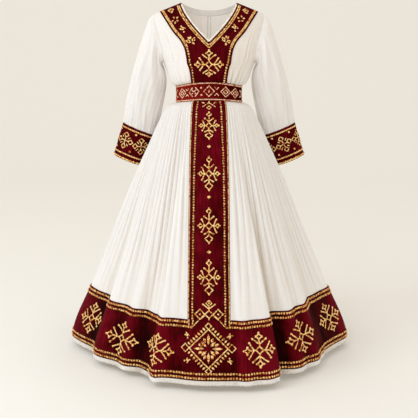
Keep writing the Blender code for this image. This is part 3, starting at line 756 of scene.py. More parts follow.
class Thread:
    """Stitches gathered for one piece: their ends, the ways out there, widths and heights."""

    def __init__(self, lift, shadow_outlined=False):
        self.lift = lift
        self.rows = []
        self.outline = Thread(0.0) if shadow_outlined else None

    def lay(self, surface, starts, ends, width, height, dye=0.0):
        """Lay stitches on a surface between places on it. A deeper dye has a greater number."""
        a, way = surface(np.asarray(starts, float))
        b = surface(np.asarray(ends, float))[0]
        wide = np.broadcast_to(np.asarray(width, float), (len(a),))
        self.rows.append((a, b, way, wide, wide * height, np.full(len(a), dye)))

    def lay_line(self, surface, line, width, pitch, length, slant, height, dye=0.0):
        """Lay stitches along a flat line, and flat dark ones under them, which edge them and paint
        shade round them.
        """
        self.lay(surface, *split_line(line, pitch, length, slant), width, height, dye)
        if self.outline:
            wide = width + SHADOW_OUTLINE
            self.outline.lay(surface, *split_line(line, wide * 0.45, wide * 0.9), wide, 0.14)

    def beads(self, surface, line, width=BEAD, pitch=BEAD_PITCH):
        """A border line of plump stitches in a deeper dye, set end to end."""
        self.lay_line(surface, line, width, pitch, pitch * 0.80, width * 0.20, 0.55, BEAD_DYE)

    def braid(self, surface, line, width):
        """A plaited line, whose long stitches all lean one way."""
        self.lay_line(surface, line, width, width * 1.30, width * 1.6, width * 0.38, 0.6)

    def cord(self, surface, line, width, pitch):
        """A twisted cord, as close slanted stitches that overlap."""
        self.lay_line(surface, line, width, pitch, pitch * 1.9, width * 0.30, 0.9)

    def petal(self, surface, start, end, width):
        """A plump petal of three long stitches, the middle one over the others."""
        ahead = unit(end - start)
        side = np.array((-ahead[1], ahead[0])) * width * 0.42
        short = (end - start) * 0.12
        starts = np.array((start + side + short, start - side + short, start - ahead * width * 0.3))
        ends = np.array((end + side - short, end - side - short, end + ahead * width * 0.3))
        self.lay(surface, starts, ends, width * np.array((0.75, 0.75, 0.85)), 0.8)

    def chart(self, surface, chart, centre, size, width, turn=0.0):
        """Lay a motif round a flat place. Size is its half width and half height."""
        size = np.broadcast_to(np.asarray(size, float), (2,))

        def placed(points):
            """Chart points on the flat cloth, whose second direction runs down."""
            points = (np.asarray(points, float) * size) @ rotation(turn)
            return np.asarray(centre) + points * (1.0, -1.0)

        for line in chart.strokes:
            pitch, length, slant = width * 0.95, width * 1.6, width * 0.20
            self.lay_line(surface, placed(line), width, pitch, length, slant, 0.6)
        if len(chart.knots):
            knots = placed(chart.knots)
            reach = np.array((width * 0.75, 0.0))
            self.lay(surface, knots - reach, knots + reach, width * 1.5, 0.6)
        for start, end in placed(chart.petals) if len(chart.petals) else ():
            self.petal(surface, start, end, width)

    def make(self, name, shape, material):
        a, b, way, wide, high, dye = (np.concatenate(part) for part in zip(*self.rows))
        along = b - a
        length = np.linalg.norm(along, axis=1)
        along = unit(along - way * (along * way).sum(axis=1, keepdims=True))
        side = np.cross(way, along)
        middle = (a + b) / 2 + way * self.lift
        points, faces = shape
        size = np.stack((length, wide, high), axis=1)
        local = points[None] * size[:, None]
        placed = middle[:, None] + (
            local[..., :1] * along[:, None]
            + local[..., 1:2] * side[:, None]
            + local[..., 2:] * way[:, None]
        )
        count = len(a)
        all_faces = (faces[None] + np.arange(count)[:, None, None] * len(points)).reshape(-1, 3)
        aside = np.broadcast_to(points[:, 1], local.shape[:2])
        flat = np.stack((local[..., 0], aside), axis=-1)
        flat = flat[:, faces].reshape(-1, 2)
        dyes = np.repeat(dye, len(points))
        return new_piece(name, placed.reshape(-1, 3), all_faces, flat, material, dyes)


# A chart is a motif of unit half size: its strokes as lines of points, its knots, and its
# petals, each a start and an end. Its second direction runs up.
Chart = namedtuple("Chart", "strokes knots petals", defaults=((), (), ()))


def charted(strokes=(), knots=(), petals=()):
    """A chart whose places are counted in hundredths of its half size."""
    parts = (strokes, knots, petals)
    return Chart(*([np.array(line) / 100 for line in part] for part in parts))


def changed(chart, matrix):
    return Chart(*([line @ matrix for line in part] for part in chart))


def joined(*charts):
    return Chart(*(sum((list(chart[k]) for chart in charts), []) for k in range(3)))


def four_times(chart):
    """An arm's chart repeated round the centre."""
    return joined(*(changed(chart, rotation(math.pi / 2 * quarter)) for quarter in range(4)))


def both_sides(chart):
    """A chart with its mirror image beside it."""
    return joined(chart, changed(chart, np.diag((-1.0, 1.0))))


CROSS = four_times(
    charted(
        strokes=(
            ((0, 22), (22, 0)), ((0, 22), (0, 62)), ((0, 34), (40, 63)), ((0, 34), (-40, 63)),
            ((0, 60), (16, 77), (0, 94), (-16, 77), (0, 60)),
        ),
        knots=((0, 98), (20, 77), (-20, 77), (44, 65), (-44, 65)),
    )
)
OPEN_DIAMOND = ((0, 6), (0, 42), (30, 72), (0, 100), (-30, 72), (0, 42))
OPEN_CROSS = four_times(charted(strokes=(OPEN_DIAMOND, ((34, 30), (56, 52)))))
TALL_CROSS = joined(
    both_sides(
        charted(
            strokes=(
                ((0, 20), (30, 0), (0, -20)),
                ((30, 0), (62, 0), (80, 12), (97, 0), (80, -12), (62, 0)),
                ((42, 0), (64, 34)), ((42, 0), (64, -34)), ((0, 30), (38, 50)),
                ((0, 68), (22, 82), (0, 96)), ((0, -30), (36, -45)),
                ((0, -52), (36, -72), (0, -94)),
            ),
            knots=((68, 36), (68, -36), (42, 52), (40, -46), (100, 0)),
        )
    ),
    charted(strokes=(((0, 20), (0, 68)), ((0, -20), (0, -52))), knots=((0, 99), (0, -97))),
)
HALF_CROSS = joined(
    both_sides(
        charted(
            strokes=(
                ((0, 40), (40, 0), (0, -40)), ((0, 60), (50, 105)), ((0, 90), (28, 122), (0, 155)),
                ((40, 0), (85, 55), (130, 0), (85, -55), (40, 0)), ((42, -15), (90, -62)),
            ),
            knots=((85, 0), (55, 110)),
        )
    ),
    charted(strokes=(((0, 40), (0, 90)), ((0, -40), (0, -62))), knots=((0, 125),)),
)
FAN = joined(
    both_sides(
        charted(
            strokes=(((14, 35), (82, -30)), ((0, -10), (24, -45), (0, -80))),
            petals=(((58, 40), (98, 66)),),
        )
    ),
    charted(petals=(((0, 10), (0, 105)),)),
)
LOZENGE = charted(strokes=(((0, -100), (100, 0), (0, 100), (-100, 0), (0, -100)),))
KNOTTED_LOZENGE = joined(LOZENGE, charted(petals=(((0, -30), (0, 30)),)))
OPEN_LOZENGE = both_sides(
    charted(strokes=(((30, 85), (100, 0), (25, -90)), ((5, 5), (42, 38))), knots=((30, -30),))
)
LEAF_LOZENGE = joined(LOZENGE, both_sides(charted(strokes=(((5, -40), (45, 0), (5, 40)),))))
FLOWER = charted(
    petals=(
        ((-25, 100), (-5, 45)), ((80, 55), (30, 25)), ((-95, -10), (-45, 5)),
        ((60, -55), (25, -15)), ((-45, -85), (-10, -40)),
    )
)
BUTTERFLY = charted(
    strokes=(
        ((-95, 35), (-35, 30), (-20, -25), (-60, -20), (-95, 35)), ((95, 30), (35, 20), (20, -25)),
    ),
    petals=(
        ((-35, 95), (-12, 35)), ((18, 100), (6, 30)), ((45, -25), (85, 0)), ((5, -45), (45, -95)),
    ),
)
BUD = charted(
    strokes=(((-90, 10), (-10, 85), (80, 20), (10, -80), (-90, 10)),),
    petals=(((-35, 5), (25, 15)), ((0, -75), (70, -85))),
)
SPRIG = charted(
    strokes=(((-90, 10), (0, 55), (15, -20), (-90, 10)), ((0, 50), (90, 0))),
    knots=((20, -90), (-30, 90)),
)
DOT = charted(petals=(((0, -100), (0, 100)),), knots=((55, 0), (-55, 0)))
KNOT = charted(knots=((0, 0),))
CHEVRON = charted(strokes=(((-100, 50), (0, -50), (100, 50)),))
PAIR_OF_KNOTS = charted(petals=(((0, 62), (0, 100)), ((0, -100), (0, -62))))


def petal_ring(count, inner, outer, first=0.0):
    """Petals that stand round a centre."""
    angles = first + np.arange(count) * 2 * math.pi / count
    ways = np.stack((np.sin(angles), np.cos(angles)), axis=1)
    return Chart(petals=np.stack((ways * inner, ways * outer), axis=1))


ROSETTE = joined(
    petal_ring(4, 0.20, 0.74),
    petal_ring(4, 0.16, 0.50, math.radians(45)),
    petal_ring(4, 0.36, 0.58, math.radians(24)),
    petal_ring(4, 0.36, 0.58, math.radians(66)),
)


def comb(length, start, reach, count):
    """Short ticks that stand outside the upper right side of a diamond of a half size."""
    shares = (np.arange(count) + 0.9) / (count + 0.8)
    foot = np.stack((shares, 1 - shares), axis=1) * length
    out = np.array((1.0, 1.0)) / math.sqrt(2)
    return Chart(petals=np.stack((foot + out * start, foot + out * reach), axis=1))


def level_line(down, start, end):
    """A flat line across a cloth at one distance down."""
    places = np.linspace(start, end, 500)
    return np.stack((places, np.full_like(places, down)), axis=1)


# ---------------------------------------------------------------- skirt
def fold_share(angles):
    """The hem's radius at angles in radians, as a share of the plain ring's."""
    degrees = (np.degrees(angles) + 180) % 360 - 180
    knots, shares = np.array(FOLDS, float).T
    i = np.clip(np.searchsorted(knots, degrees, side="right") - 1, 0, len(knots) - 2)
    t = (degrees - knots[i]) / (knots[i + 1] - knots[i])
    return shares[i] + (shares[i + 1] - shares[i]) * (1 - np.cos(math.pi * t)) / 2


def ring_points(ring, angles):
    """A ring's points at angles from the centre front."""
    sine, cosine = np.sin(angles), np.cos(angles)
    ahead = cosine > 0
    squared = np.sqrt(np.clip(1 - np.abs(sine) ** ring.power, 0, None))
    share = 1 + (fold_share(angles) - 1) * ring.fold
    x = ring.half_width * share * sine
    y = -np.where(ahead, ring.front * squared, -ring.back * squared) * share
    z = ring.z + ring.rise * np.clip(cosine, 0, None) ** 2
    return np.stack((x, y, z), axis=-1)


def skirt_key_row(ring, columns):
    """One ring of the skirt without its gathers, at the solids' columns, whole or not."""
    half = at_height(STRIPE_WIDTHS, "half", ring.z)
    count = np.abs(columns)
    on_stripe = count <= STRIPE_COLUMNS
    x = half * np.minimum(count / STRIPE_COLUMNS, 1.0)
    stripe_angle = np.arcsin(x / ring.half_width)
    ends = (STRIPE_COLUMNS, QUARTER, HALF_SKIRT)
    edge = math.asin(half / ring.half_width)
    rest_angle = np.interp(count, ends, (edge, math.pi / 2, math.pi))
    angles = np.sign(columns) * np.where(on_stripe, stripe_angle, rest_angle)
    row = ring_points(ring, angles)
    row[on_stripe, 0] = (np.sign(columns) * x)[on_stripe]
    return row


def flare_height(points, along):
    """The soft folds' height at the skirt's points, from none at the hips to all at the hem."""
    degrees = np.degrees(np.arctan2(points[..., 0], -points[..., 1]))
    heights = between(*zip(*FLARES), degrees.ravel()).reshape(degrees.shape)
    return heights * ease((along - 0.12) / 0.75)[:, None]


def gather_height(columns, along, rng):
    """The skirt's gathers in shares of their half height: rounded crests, narrow valleys."""
    side = np.sign(columns)[None]
    last = HALF_SKIRT - STRIPE_COLUMNS
    crests = last // 2 + 2
    count = np.clip(np.abs(columns) - STRIPE_COLUMNS, 0, None)[None]
    drift = np.zeros((len(along), len(columns)))
    for _ in range(4):
        rate, phase, run = rng.uniform(0.05, 0.16), rng.uniform(0, 6.28), rng.uniform(1.5, 5.0)
        drift += 0.12 * np.sin(count * rate * 6.28 + side * phase + along[:, None] * run)
    count = np.clip(count + drift * ease(count / 3) * ease((last - count) / 3), 0, last)
    crest = np.floor(count / 2).astype(int)
    size = 0.9 + 0.3 * np.sin(2.4 * (2 * crest + 1))
    fade = rng.uniform(0, 6.28, crests)
    pace = rng.uniform(2.0, 7.0, crests)
    size = size * (1 + 0.35 * np.sin(fade[crest] * (1.3 + side) + pace[crest] * along[:, None]))
    wave = np.abs(np.sin(count * math.pi / 2)) ** 0.85
    height = -1 + (1 + size) * wave
    upper = 1 - ease((along - 0.10) / 0.45)
    for share, rate in ((0.42, 1.13), (0.34, 1.71), (0.26, 2.37)):
        phase = rng.uniform(0, 6.28)
        lean = rng.uniform(-1.0, 1.0)
        ripple = np.sin(count * rate * math.pi + side * phase + along[:, None] * lean)
        height += share * ripple * (0.25 + 0.75 * upper[:, None])
    return height * ease(count / 1.2)


def make_skirt_cloth():
    """The skirt's cotton, and the same without its gathers, which the bands follow."""
    columns = np.arange(-HALF_SKIRT * SKIRT_FINENESS, HALF_SKIRT * SKIRT_FINENESS + 1)
    columns = columns / SKIRT_FINENESS
    keys = np.array([skirt_key_row(ring, columns) for ring in SKIRT_RINGS])
    places = lengths_along(keys[:, column_at(columns, QUARTER)])
    dense = steps_between(places, SKIRT_STEPS)
    along = (dense - dense[0]) / (dense[-1] - dense[0])
    points = between(places, keys, dense)
    points += unit(points * (1.0, 1.0, 0.0)) * flare_height(points, along)[..., None]
    plain = Cloth(points, closed=True)
    half_height = between(places, [ring.gather for ring in SKIRT_RINGS], dense)
    half_height *= ease((dense - places[STRIPE_TOP_RING]) / 0.020)
    half_height *= ease((places[BAND_TOP_RING] - dense) / 0.007)
    height = gather_height(columns, along, np.random.default_rng(11)) * half_height[:, None]
    level = unit(plain.out * (1.0, 1.0, 0.0))
    cotton = Cloth(plain.points + level * height[..., None], closed=True)
    # Painted shade in the hollows of the gathers and folds, and painted light on their crests.
    cotton.with_painted_shade((8, 0.0050, 0.6), (40, 0.020, 0.6))
    # More painted shade below the band's top, which darkens the hem's white strip.
    cotton.hollow += 0.45 * ease((dense - places[BAND_TOP_RING]) / 0.01)[:, None]
    # Painted shade in the folds of the plain sheet, which the bands take on.
    plain.with_painted_shade((16, 0.006, 0.35), (40, 0.020, 0.55))
    return plain, cotton, columns


def column_at(columns, place):
    return int(np.searchsorted(columns, place - 1e-9))


def within(columns, reach):
    """The columns up to so many of the solids' to either side."""
    return slice(column_at(columns, -reach), column_at(columns, reach) + 1)


# ---------------------------------------------------------------- bodice
def shoulder_z(x):
    return -SHOULDER_DROP * (x - NECK_HALF) / (SHOULDER_TIP - NECK_HALF)


def top_edge(columns, is_front):
    """The top of a half bodice's columns: along the neckline, then along the shoulder."""
    share = np.clip(columns / NECK_COLUMNS, 0, 1)
    ends = (0, NECK_COLUMNS, PANEL_COLUMNS, HALF_BODICE)
    x = np.interp(columns, ends, (0.0, NECK_HALF, PANEL_AT_SHOULDER, SHOULDER_TIP))
    if is_front:
        neck = -V_DEPTH * (1 - share) ** V_STRAIGHT
    else:
        neck = -BACK_NECK_DEPTH * (1 - share ** 2.2)
    return x, np.where(columns <= NECK_COLUMNS, neck, shoulder_z(x))


def bowed(x, z):
    """Places across the neck panel, moved outwards so that the V's sides bow."""
    depth = np.clip(-z / V_DEPTH, 0, 1)
    straight = NECK_HALF * (1 - depth ** (1 / V_STRAIGHT))
    bow = NECK_HALF * (1 - depth ** (1 / V_CURVE)) - straight
    edge = at_height(PANEL_EDGE, "half", z)
    return x + bow * np.clip((edge - x) / (edge - straight), 0, 1)


def chest_points(x, z, is_front):
    """The chest above the underarms, rounded over at the shoulder."""
    half_width = at_height(CHEST, "half_width", z)
    depth = at_height(CHEST, "front" if is_front else "back", z)
    below = np.clip((shoulder_z(x) - z) / SHOULDER_ROUND, 0, 1)
    turn = np.sqrt(1 - (1 - below) ** 2)
    y = depth * np.sqrt(np.clip(1 - np.abs(x / half_width) ** CHEST_POWER, 0, None)) * turn
    return np.stack((x, -y if is_front else y, z), axis=-1)


def half_bodice(is_front, columns):
    """The +X half of the front or back without creases, from the centre to the side."""
    start, top = top_edge(columns, is_front)
    under_edge = at_height(PANEL_EDGE, "half", UNDERARM_Z)
    panel_column = int(np.searchsorted(columns, PANEL_COLUMNS))
    in_panel = columns <= PANEL_COLUMNS
    side_share = np.clip((columns - PANEL_COLUMNS) / SIDE_COLUMNS, 0, 1)
    rows = []
    for t in np.linspace(0.0, 1.0, CHEST_ROWS + 1):
        down = 0.45 * t + 0.55 * t * t if t > 0.12 else t * t * 4.3
        z = top + (UNDERARM_Z - top) * down
        half_width = at_height(CHEST, "half_width", z)
        edge = at_height(PANEL_EDGE, "half", z[panel_column])
        drawn_in = (PANEL_AT_SHOULDER - edge) / (PANEL_AT_SHOULDER - under_edge)
        inner = start + (under_edge * columns / PANEL_COLUMNS - start) * drawn_in
        inner_turn = math.asin(edge / half_width[panel_column])
        armhole = at_height(ARMHOLE, "half", z[-1]) / half_width[-1]
        turns = inner_turn + (math.asin(min(1.0, armhole)) - inner_turn) * side_share
        if is_front:
            inner = bowed(inner, z)
        x = np.where(in_panel, inner, half_width * np.sin(turns))
        rows.append(chest_points(x, z, is_front))
    keys = [rows[-3], rows[-1]]
    for ring in BODICE_RINGS[1:]:
        edge = at_height(PANEL_EDGE, "half", ring.z)
        inner_turn = math.asin(edge / ring.half_width)
        inner = np.arcsin(np.minimum(edge * columns / PANEL_COLUMNS, edge) / ring.half_width)
        outer = inner_turn + (math.pi / 2 - inner_turn) * side_share
        turns = np.where(in_panel, inner, outer)
        keys.append(ring_points(ring, turns if is_front else math.pi - turns))
    keys = np.array(keys)
    places = lengths_along(keys[:, -1])
    dense = steps_between(places[1:], BODICE_STEPS)
    return np.concatenate((rows, between(places, keys, dense)[1:]))


def mirrored(points):
    return (points * np.array((-1.0, 1.0, 1.0)))[:, ::-1]


def crease_columns(cloth, columns, crease, side, t):
    """The columns that a crease follows down the rows, straight as it is seen from the front."""
    order = np.argsort(columns * side)
    order = order[(columns * side)[order] >= 0]
    half = np.abs(columns[order])
    x = np.abs(cloth.points[:, order, 0])
    last = len(x) - 1
    top = np.interp(crease.top_column, half, x[round(crease.top * last)])
    bottom = np.interp(crease.bottom_column, half, x[round(crease.bottom * last)])
    wanted = top + (bottom - top) * t[:, 0]
    return np.array([np.interp(wanted[row], x[row], half) for row in range(len(x))])[:, None]


def crease_height(cloth, columns, creases, keep):
    """The height of a table of creases over a bodice, whose columns are signed by side."""
    rows = len(cloth.points)
    down = np.linspace(0, 1, rows)[:, None]
    across = lengths_along(cloth.points[rows * 2 // 3])
    height = np.zeros(cloth.points.shape[:2])
    for number, crease in enumerate(creases):
        for side in (-1, 1):
            wander = 0.12 * math.sin(1.7 * number + side)
            t = np.clip((down - crease.top) / (crease.bottom - crease.top), 0, 1)
            column = crease_columns(cloth, columns, crease, side, t)
            column = column + wander * np.sin(t * 3.0)
            middle = np.interp(column * side, columns, across)
            width = crease.width * (1.9 - 0.8 * t)
            ridge = np.exp(-(((across[None] - middle) / width) ** 2))
            size = 0.42 + 0.05 * side + 0.08 * math.sin(2.9 * number + 1.3 * side)
            shown = ease((down - crease.top) / 0.22) * ease((crease.bottom + 0.02 - down) / 0.05)
            height += crease.height * ridge * size * shown * ease(t * 1.6 + 0.25)
    return height * keep


def waist_gathers(columns, rows, keep):
    """Fine gathers that the belt draws in, and that fade up the bodice."""
    down = np.linspace(0, 1, rows)[:, None]
    count = np.abs(columns)[None]
    grow = ease((down - 0.60) / 0.34) * ease((1.005 - down) / 0.05)
    wave = np.sin(count * 5.1 + np.sign(columns)[None] * 0.7 + 1.5 * down) * 0.0017
    wave = wave + np.sin(count * 8.3 + 2.0 * down) * 0.0013
    return wave * grow * keep


def make_bodice_cloth(is_front):
    """The bodice's front or back: its cotton, and the same without creases."""
    inner = np.linspace(0, PANEL_COLUMNS, 57)
    outer = np.linspace(PANEL_COLUMNS, HALF_BODICE, 61)
    half_columns = np.concatenate((inner, outer[1:]))
    columns = np.concatenate((-half_columns[::-1], half_columns[1:]))
    half = half_bodice(is_front, half_columns)
    count = np.abs(columns)[None]
    keep = ease((HALF_BODICE - count) / 0.8)
    if is_front:
        points = np.concatenate((mirrored(half), half[:, 1:]), axis=1)
        keep = keep * ease((count - PANEL_COLUMNS) / 0.5)
    else:
        points = np.concatenate((half[:, ::-1], mirrored(half[:, ::-1])[:, 1:]), axis=1)
    plain = Cloth(points)
    height = crease_height(plain, columns, FRONT_CREASES if is_front else BACK_CREASES, keep)
    height += waist_gathers(columns, len(points), keep)
    height *= ease((0.935 - np.linspace(0, 1, len(points))) / 0.035)[:, None]
    # Painted shade in the hollows of the creases and gathers, and more painted shade over the +X
    # side.
    cotton = plain.raised(height).with_painted_shade((4, 0.0030, 1.0))
    cotton.hollow += BODICE_SHADE * ease(columns / 6)[None]
    return plain, cotton, columns


# ---------------------------------------------------------------- sleeves and cuffs
def sleeve_ring(ring, turns):
    """A sleeve's ring: turn 0 is its outer end, and minus a half turn its inner end."""
    outer = np.array((ring.outer_x, ring.back, ring.outer_z))
    inner = np.array((ring.inner_x, ring.back, ring.inner_z))
    across = (outer - inner) / 2
    depth = np.array((0.0, ring.half_depth, 0.0))
    return (outer + inner) / 2 + np.cos(turns)[:, None] * across + np.sin(turns)[:, None] * depth


def sleeve_height(turns, rows, gather, rng):
    """Gathers along the sleeve, which draw in to the cuff, and its soft folds."""
    along = np.linspace(0, 1, rows)[:, None]
    turn = turns[None] / (2 * math.pi)
    drift = 0.018 * np.sin(9 * along + 6.28 * turn) * ease((1 - along) / 0.15)
    height = np.zeros((rows, len(turns)))
    for count, share in ((SLEEVE_GATHERS, 0.40), (SLEEVE_GATHERS + 7, 0.26), (9, 0.30)):
        phase = rng.uniform(0, 6.28)
        height += share * np.sin(2 * math.pi * count * (turn + drift) + phase)
    height = height * gather[:, None]
    near_cuff = ease((along - 0.80) / 0.14) * ease((1.0 - along) / 0.03)
    height += 0.0016 * near_cuff * np.sin(2 * math.pi * 31 * turn + 1.0)
    for fold in SLEEVE_FOLDS:
        t = np.clip((along - fold.top) / (fold.bottom - fold.top), 0, 1)
        middle = fold.top_turn + (fold.bottom_turn - fold.top_turn) * t
        gap = (turn - middle + 0.5) % 1.0 - 0.5
        height += fold.height * np.exp(-((gap / fold.width) ** 2)) * np.sin(math.pi * t) ** 0.8
    return height


def make_sleeve_cloth(front, back):
    """The +X sleeve and cuff, from the armhole of the bodice's two plain sheets."""
    loop = np.concatenate((front.points[CHEST_ROWS::-1, -1], back.points[1:CHEST_ROWS + 1, 0]))
    run = lengths_along(loop)
    shares = np.linspace(0, 1, SLEEVE_COLUMNS + 1)
    turns = shares * 2 * math.pi - math.pi
    start = read_along(shares * run[-1], run, loop)
    keys = [start]
    for ring in SLEEVE_RINGS:
        row = sleeve_ring(ring, turns)
        shift = row[:-1].mean(axis=0) - start[:-1].mean(axis=0)
        keys.append(row * (1 - ring.armhole) + (start + shift) * ring.armhole)
    keys = np.array(keys)
    places = lengths_along(keys.mean(axis=1))
    dense = steps_between(places, SLEEVE_STEPS)
    plain = Cloth(between(places, keys, dense), closed=True)
    gather = between(places, [0.0] + [ring.gather for ring in SLEEVE_RINGS], dense)
    height = sleeve_height(turns, len(dense), gather, np.random.default_rng(5))
    height *= ease(np.linspace(0, 1, len(dense)) / 0.06)[:, None]
    # Painted shade in the hollows of the sleeve's gathers and folds.
    sleeve = plain.raised(height).with_painted_shade((4, 0.0035, 0.4))
    cuff_keys = np.array((sleeve_ring(SLEEVE_RINGS[-1], turns), sleeve_ring(CUFF_END, turns)))
    downs = np.linspace(0.002, 1, CUFF_ROWS)[:, None, None]
    cuff = Cloth(cuff_keys[0] * (1 - downs) + cuff_keys[1] * downs, closed=True)
    return sleeve, cuff


def on_left(cloth):
    return Cloth(mirrored(cloth.points), cloth.closed, mirrored(cloth.out), cloth.hollow[:, ::-1])


# ---------------------------------------------------------------- embroidery
LINE_INSET = 0.0100      # from a hem band's edge to its outer border line
SECOND_LINE = 0.0265
STROKE = 0.0056          # width of the large motifs' stitches
FINE_STROKE = 0.0046
NARROW_BEAD = BEAD * 0.78
# The hem's crosses, each with its place across and down, its half width and its half height.
HEM_CROSSES = (
    (-0.6750, 0.113, 0.074, 0.063), (-0.4140, 0.127, 0.086, 0.064), (-0.2060, 0.121, 0.071, 0.060),
    (0.1912, 0.113, 0.063, 0.065), (0.4540, 0.113, 0.083, 0.064), (0.7255, 0.113, 0.083, 0.059),
)
PLAIN_CROSS = (0.113, 0.070, 0.064)   # down and half sizes of each one round the back
HEM_CROSS_STEP = 0.262   # round the sides and back
HEM_CENTRE = (-0.002, 0.104)
HEM_DIAMOND = 0.072
HEM_TICKS = (0.0050, 0.0190, 7)   # their start and end, out from the diamond, and their number
CORNER_DIAMOND = 0.0150
HEM_SPRIG_HALF = 0.0105
HEM_SPRIG_PLACE = (0.080, 0.046)
ROOF = ((0.040, 0.002), (0.057, 0.0215))   # a stroke to each side of the diamond's top
STRIPE_HALF = 0.0772
STRIPE_LINE_INSET = 0.017
STRIPE_LINE_INSETS = ((0.0, 0.300, 0.900), (0.0225, 0.0185, STRIPE_LINE_INSET))   # down, inset
# The stripe's charts, each with its place down, half size and share of a whole stroke's width.
STRIPE_MOTIFS = (
    (TALL_CROSS, 0.121, (0.0395, 0.054), 0.92), (TALL_CROSS, 0.310, (0.0395, 0.066), 0.92),
    (TALL_CROSS, 0.510, (0.0395, 0.068), 0.92), (TALL_CROSS, 0.705, (0.0395, 0.066), 0.92),
    (DOT, 0.2037, 0.006, 1), (DOT, 0.400, 0.006, 1), (DOT, 0.610, 0.006, 1),
    (HALF_CROSS, 0.842, (0.0375, 0.0333), 0.9), (FAN, 0.036, (0.033, 0.025), 0.9),
)
BELT_EDGE, BELT_EDGE_INSET = 0.0056, 0.0022
BELT_DIAMOND_HALF = 0.0205
BELT_DIAMONDS = 12
BELT_SHIFTS = {-2: 0.004, 1: 0.007, 2: -0.008}
BELT_KNOTS_HALF = 0.0175
CHEVRON_HALF, CHEVRON_OFFSET = 0.0075, 0.0125
CUFF_LINE = 0.0064
CUFF_LINE_INSETS = (0.0125, 0.0225)
CUFF_EDGE, CUFF_EDGE_INSET = 0.0085, 0.0030
CUFF_CROSSES = 5
CUFF_CROSS_HALF = 0.034
CUFF_CROSS_SHARE = 0.45  # of the way down the cuff
CUFF_KNOTS = (0.024, 0.099)
CUFF_FIRST_CROSS = 107   # of the cuff's columns, midway between two crosses
NECK_LINE = 0.0053
NECK_LINE_INSETS = (0.0108, 0.0171)
PANEL_LINE = 0.0046
PANEL_LINE_INSETS = (0.0090, 0.0138)
PANEL_BEADS_INSET = 0.0120
PANEL_BEADS_SHARE = 0.58   # of the panel's side edges, from the shoulder down
YOKE_CROSS = (0.0, -0.1246, -0.2305)
YOKE_CROSS_HALF = (0.055, 0.057)
# Small motifs beside the V, with their half size and turn. The second place mirrors the first but
# for its own wander.
YOKE_MOTIFS = (
    (BUD, 0.0135, 0.3, (-0.1475, -0.0302, -0.0286), (0.1424, -0.0346, -0.0308)),
    (FLOWER, 0.0165, 0.4, (-0.1291, -0.0614, -0.0649), (0.1241, -0.0613, -0.0608)),
    (SPRIG, 0.0135, 0.2, (-0.1010, -0.0818, -0.0980), (0.1000, -0.0795, -0.0935)),
    (BUTTERFLY, 0.0195, 0.4, (-0.0690, -0.0998, -0.1415), (0.0655, -0.0998, -0.1415)),
)


def stitch_hem(thread, hem, start, end):
    """The hem band's border lines and crosses, between two places across."""
    inner = STRIPE_HALF - STRIPE_LINE_INSET
    for gap, down in ((STRIPE_HALF, LINE_INSET), (inner, SECOND_LINE)):
        for first, last in ((start, min(end, -gap)), (max(start, gap), end)):
            if last - first > 0.05:
                thread.beads(hem.on, level_line(down, first, last))
        thread.beads(hem.on, level_line(hem.down[-1] - down + 0.001, start, end))
    crosses = list(HEM_CROSSES)
    for step in (1, 2, 3):
        for last, way in ((HEM_CROSSES[0], -1), (HEM_CROSSES[-1], 1)):
            crosses.append((last[0] + way * step * HEM_CROSS_STEP, *PLAIN_CROSS))
    for number, (across, down, *size) in enumerate(crosses):
        if start < across < end:
            turn = 0.10 * math.sin(5.0 * number + 1.0)
            thread.chart(hem.on, CROSS, (across, down), size, STROKE * 1.15, turn)
    if start < 0 < end:
        stitch_hem_centre(thread, hem)


def stitch_hem_centre(thread, hem):
    """The diamond under the stripe, its ticks, and the ends of the stripe's own lines."""
    x, down = HEM_CENTRE
    half = HEM_DIAMOND
    ticks = four_times(comb(half, *HEM_TICKS))
    thread.chart(hem.on, LOZENGE, HEM_CENTRE, half, STROKE)
    thread.chart(hem.on, ticks, HEM_CENTRE, 1.0, STROKE * 0.80)
    thread.chart(hem.on, ROSETTE, HEM_CENTRE, half, STROKE * 1.15)
    for aside, below in ((1, 0), (-1, 0), (0, -1), (0, 1)):
        small = CORNER_DIAMOND * (0.75 if below else 1.0)
        place = (x + aside * (half + small), down + below * (half + small))
        thread.chart(hem.on, LOZENGE, place, small, FINE_STROKE)
    for number, (aside, below) in enumerate(((-1, -1), (1, -1), (1, 1), (-1, 1))):
        place = (x + aside * HEM_SPRIG_PLACE[0], down + below * HEM_SPRIG_PLACE[1])
        thread.chart(hem.on, SPRIG, place, HEM_SPRIG_HALF, FINE_STROKE, number * math.pi / 2)
    for side in (-1, 1):
        inner = side * (STRIPE_HALF - STRIPE_LINE_INSET)
        outer = side * (STRIPE_HALF - CORD / 2)
        thread.beads(hem.on, ((inner, -0.001), (inner, SECOND_LINE)), NARROW_BEAD)
        thread.braid(hem.on, ((outer, 0.0), (outer, SECOND_LINE)), CORD)
        thread.chart(hem.on, Chart(strokes=(ROOF,)), (0, 0), (side, -1), FINE_STROKE)


def stitch_stripe(thread, stripe):
    """The stripe's edge cords, bead lines, crosses and dots."""
    for edge in ("first", "last"):
        outer = edge_path(stripe, edge, CORD * 0.5)
        thread.braid(outer.on, outer.whole(), CORD * 0.85)
        inner = edge_path(stripe, edge, np.interp(stripe.down, *STRIPE_LINE_INSETS))
        thread.beads(inner.on, inner.whole(0.008), NARROW_BEAD, BEAD_PITCH * 0.98)
    for chart, down, half, share in STRIPE_MOTIFS:
        thread.chart(stripe.on, chart, (0, down), half, STROKE * share)


